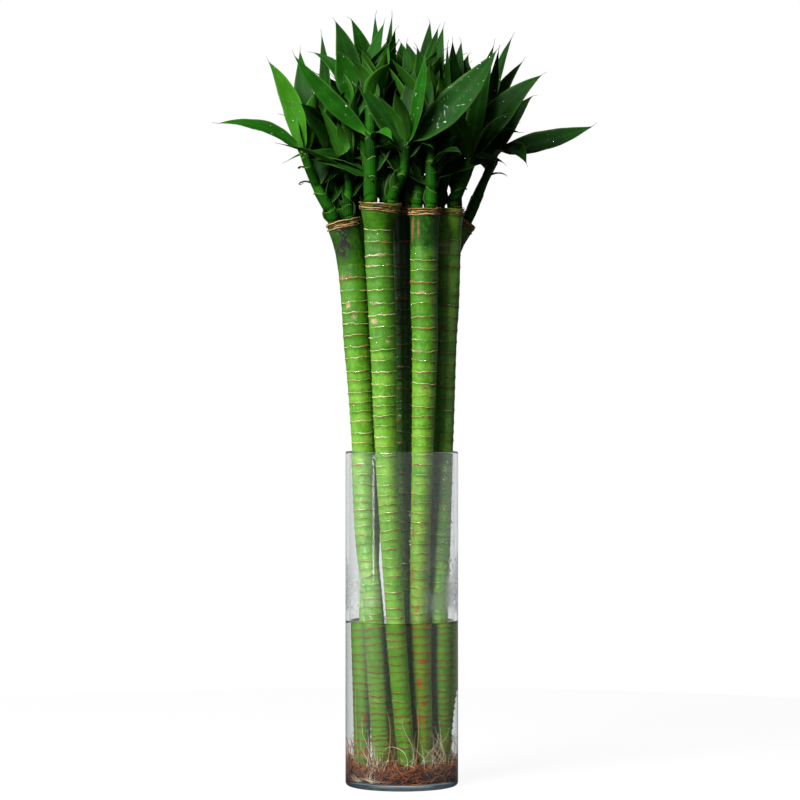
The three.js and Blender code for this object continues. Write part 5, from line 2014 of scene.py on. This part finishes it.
@dataclass
class Studio:
    """A pale floor, soft daylight from the left and the camera at the photograph's place.

    The room's glows, in order: a pale low wall on the right, light that fades from the left, the window's
    side, less light from behind but for the wall right behind the plant, and less from above and below.
    """

    floor_radius: float = 0.9
    floor_shade: str = "#343434"
    floor_card: str = "#E4E4E4"
    glows: tuple = (
        Glow("X", 0.5, 0.9, 0.0, 0.4, "ADD"),
        Glow("Z", 0.3, 0.1, 0.0, 1.0, "MULTIPLY"),
        Glow("X", -1.0, 0.6, 0.42, 0.1, "ADD"),
        Glow("X", -1.0, -0.45, 1.0, 0.0, "ADD"),
        Glow("Y", 0.0, 0.6, 1.0, 0.15, "MULTIPLY"),
        Glow("Y", 0.55, 0.95, 0.0, 0.45, "ADD"),
        Glow("Z", 0.3, 0.8, 1.0, 0.35, "MULTIPLY"),
        Glow("Z", -0.12, -0.02, 0.3, 1.0, "MULTIPLY"),
    )

    def build(self) -> None:
        """Sets the stage, the light and the camera."""
        self.lay_floor()
        self.light_world()
        self.add_lamp("window", (-1.15, -1.6, 1.85), (1.0, 1.0), 140.0)
        self.add_lamp("overhead", (-0.3, -0.2, 2.2), (1.2, 1.2), 6.0)
        self.add_lamp("window_edge", (-1.75, -1.0, 0.19), (0.05, 0.25), 0.6)
        self.add_lamp("low_bounce", (1.5, -0.7, 0.1), (0.6, 0.3), 0.24, 0.06, 18.0)
        self.set_camera()

    def lay_floor(self) -> None:
        """Lays the plain pale floor. Mirror images pass it, so that no horizon crosses the glass."""
        bpy.ops.mesh.primitive_circle_add(vertices=96, radius=self.floor_radius, fill_type="NGON")
        floor = bpy.context.object
        floor.name = "pale_floor"
        card, add = new_material("matt_white_card")
        eye = add("LightPath", output="Is Camera Ray")
        shade = add("Mix", {0: eye, FIRST: self.floor_shade, SECOND: self.floor_card}, MIXED, **COLOURS)
        white = add("BsdfDiffuse", {"Color": shade})
        strength = add("MapRange", {0: eye, 3: PALE_ROOM, 4: 1.0})
        glow = add("Emission", {"Strength": strength})
        share = add("Math", {0: eye, 1: 0.93}, operation="MULTIPLY")
        share = add("Math", {0: share, 1: seen_through(add)}, operation="MAXIMUM")
        seen_card = add("MixShader", {0: share, 1: white, 2: glow})
        mirrored = add("LightPath", output="Is Glossy Ray")
        clear = add("BsdfTransparent")
        mixed = add("MixShader", {0: mirrored, 1: seen_card, 2: clear})
        add("OutputMaterial", {"Surface": mixed})
        floor.data.materials.append(card)

    def light_world(self) -> None:
        """Lights the plant from the left. The eye sees white, and pale grey through glass."""
        world = bpy.data.worlds.new("daylight_room")
        bpy.context.scene.world = world
        world.use_nodes = True
        world.node_tree.nodes.clear()
        add = partial(add_node, world.node_tree)
        away = add("TexCoord", output="Generated")
        level: Any = 0.0
        for glow in self.glows:
            part = add("SeparateXYZ", {0: away}, glow.part)
            span = {0: part, 1: glow.start, 2: glow.end, 3: glow.low, 4: glow.high}
            share = add("MapRange", span)
            level = add("Math", {0: share, 1: level}, operation=glow.operation)
        room = add("Background", {"Color": "#F8F9FA", "Strength": level})
        pale = add("Background", {"Color": WHITE, "Strength": PALE_ROOM})
        white = add("Background", {"Color": WHITE, "Strength": 1.0})
        mixed = add("MixShader", {0: seen_through(add), 1: room, 2: pale})
        eye = add("LightPath", output="Is Camera Ray")
        mixed = add("MixShader", {0: eye, 1: mixed, 2: white})
        add("OutputWorld", {"Surface": mixed})

    def add_lamp(
        self, name: str, place: tuple, size: tuple[float, float], power: float, aimed: float = 0.36,
        spread: float = 180.0,
    ) -> None:
        """Hangs a soft lamp that looks at the plant's axis. A narrow one shows no image in the glass.

        Args:
            name: The lamp's name.
            place: Where it hangs, in metres.
            size: How wide and how tall it is, in metres.
            power: Its power in watts.
            aimed: The height that it looks at, in metres.
            spread: The angle that it shines into, in degrees.
        """
        lamp = bpy.data.lights.new(name, "AREA")
        lamp.shape = "RECTANGLE"
        lamp.size, lamp.size_y = size
        lamp.energy = power
        lamp.spread = math.radians(spread)
        hung = bpy.data.objects.new(name, lamp)
        hung.location = place
        hung.visible_glossy = hung.visible_transmission = spread > 90
        aim = Vector((0, 0, aimed)) - Vector(place)
        hung.rotation_euler = aim.to_track_quat("-Z", "Y").to_euler()
        bpy.context.scene.collection.objects.link(hung)

    def set_camera(self) -> None:
        """Sets the camera where the photograph's front view was measured from."""
        camera = bpy.data.cameras.new("front_camera")
        camera.lens = LENS
        camera.sensor_width = SENSOR
        camera.clip_end = 20
        stand = bpy.data.objects.new("front_camera", camera)
        stand.location = Vector((VIEW_ACROSS, -VIEW_DISTANCE, VIEW_HEIGHT)) * MILLIMETRE
        stand.rotation_euler = (TURN / 4, 0, 0)
        scene = bpy.context.scene
        scene.collection.objects.link(stand)
        scene.camera = stand
        scene.view_settings.view_transform = "Standard"
        scene.cycles.transparent_max_bounces = 24
        scene.cycles.max_bounces = scene.cycles.transmission_bounces = 16
        scene.cycles.caustics_reflective = scene.cycles.caustics_refractive = False


def main() -> None:
    """Builds the plant, its vase and the studio, and reports each piece."""
    logging.basicConfig(level=logging.INFO, format="%(message)s")
    Studio().build()
    vase = Vase()
    vase.build()
    Water(vase).build()
    RootMat().build()
    soaked = Rind("soaked_cane_rind", gloss=0.08, relief=0.1).material()
    rinds = (Rind().material(), soaked, Rind("bare_joint_rind", gloss=0.3).material())
    dry_fibre = Fibre("dry_sheath_fibre", "#BE9662", "#43200F", 1.2).material()
    canes = {cane.name: cane for cane in CANES}
    dew = Dew()
    vase.mist(dew)
    for cane in CANES:
        cane.build(rinds, dew)
        Collar(cane).build(dry_fibre)
    blade_skin = LeafSkin("waxed_leaf_skin", "#061F02", "#17500A", "#4F9620").material()
    # The stem's greens are kept dark: its own colour with painted shade of the leaves above it.
    stem = LeafSkin("shaded_young_stem_skin", "#0A2E04", "#1B5309", "#4C8F20", veins=5.0, roughness=0.38)
    stem_skin = stem.material()
    draws = Draws(LEAF_SEED)
    shoots = [Shoot(name, plan, canes[name[0]], draws, dew) for name, plan in PLANS.items()]
    for shoot in shoots:
        shoot.build(blade_skin, stem_skin)
    dew.build()


if __name__ == "__main__":
    main()
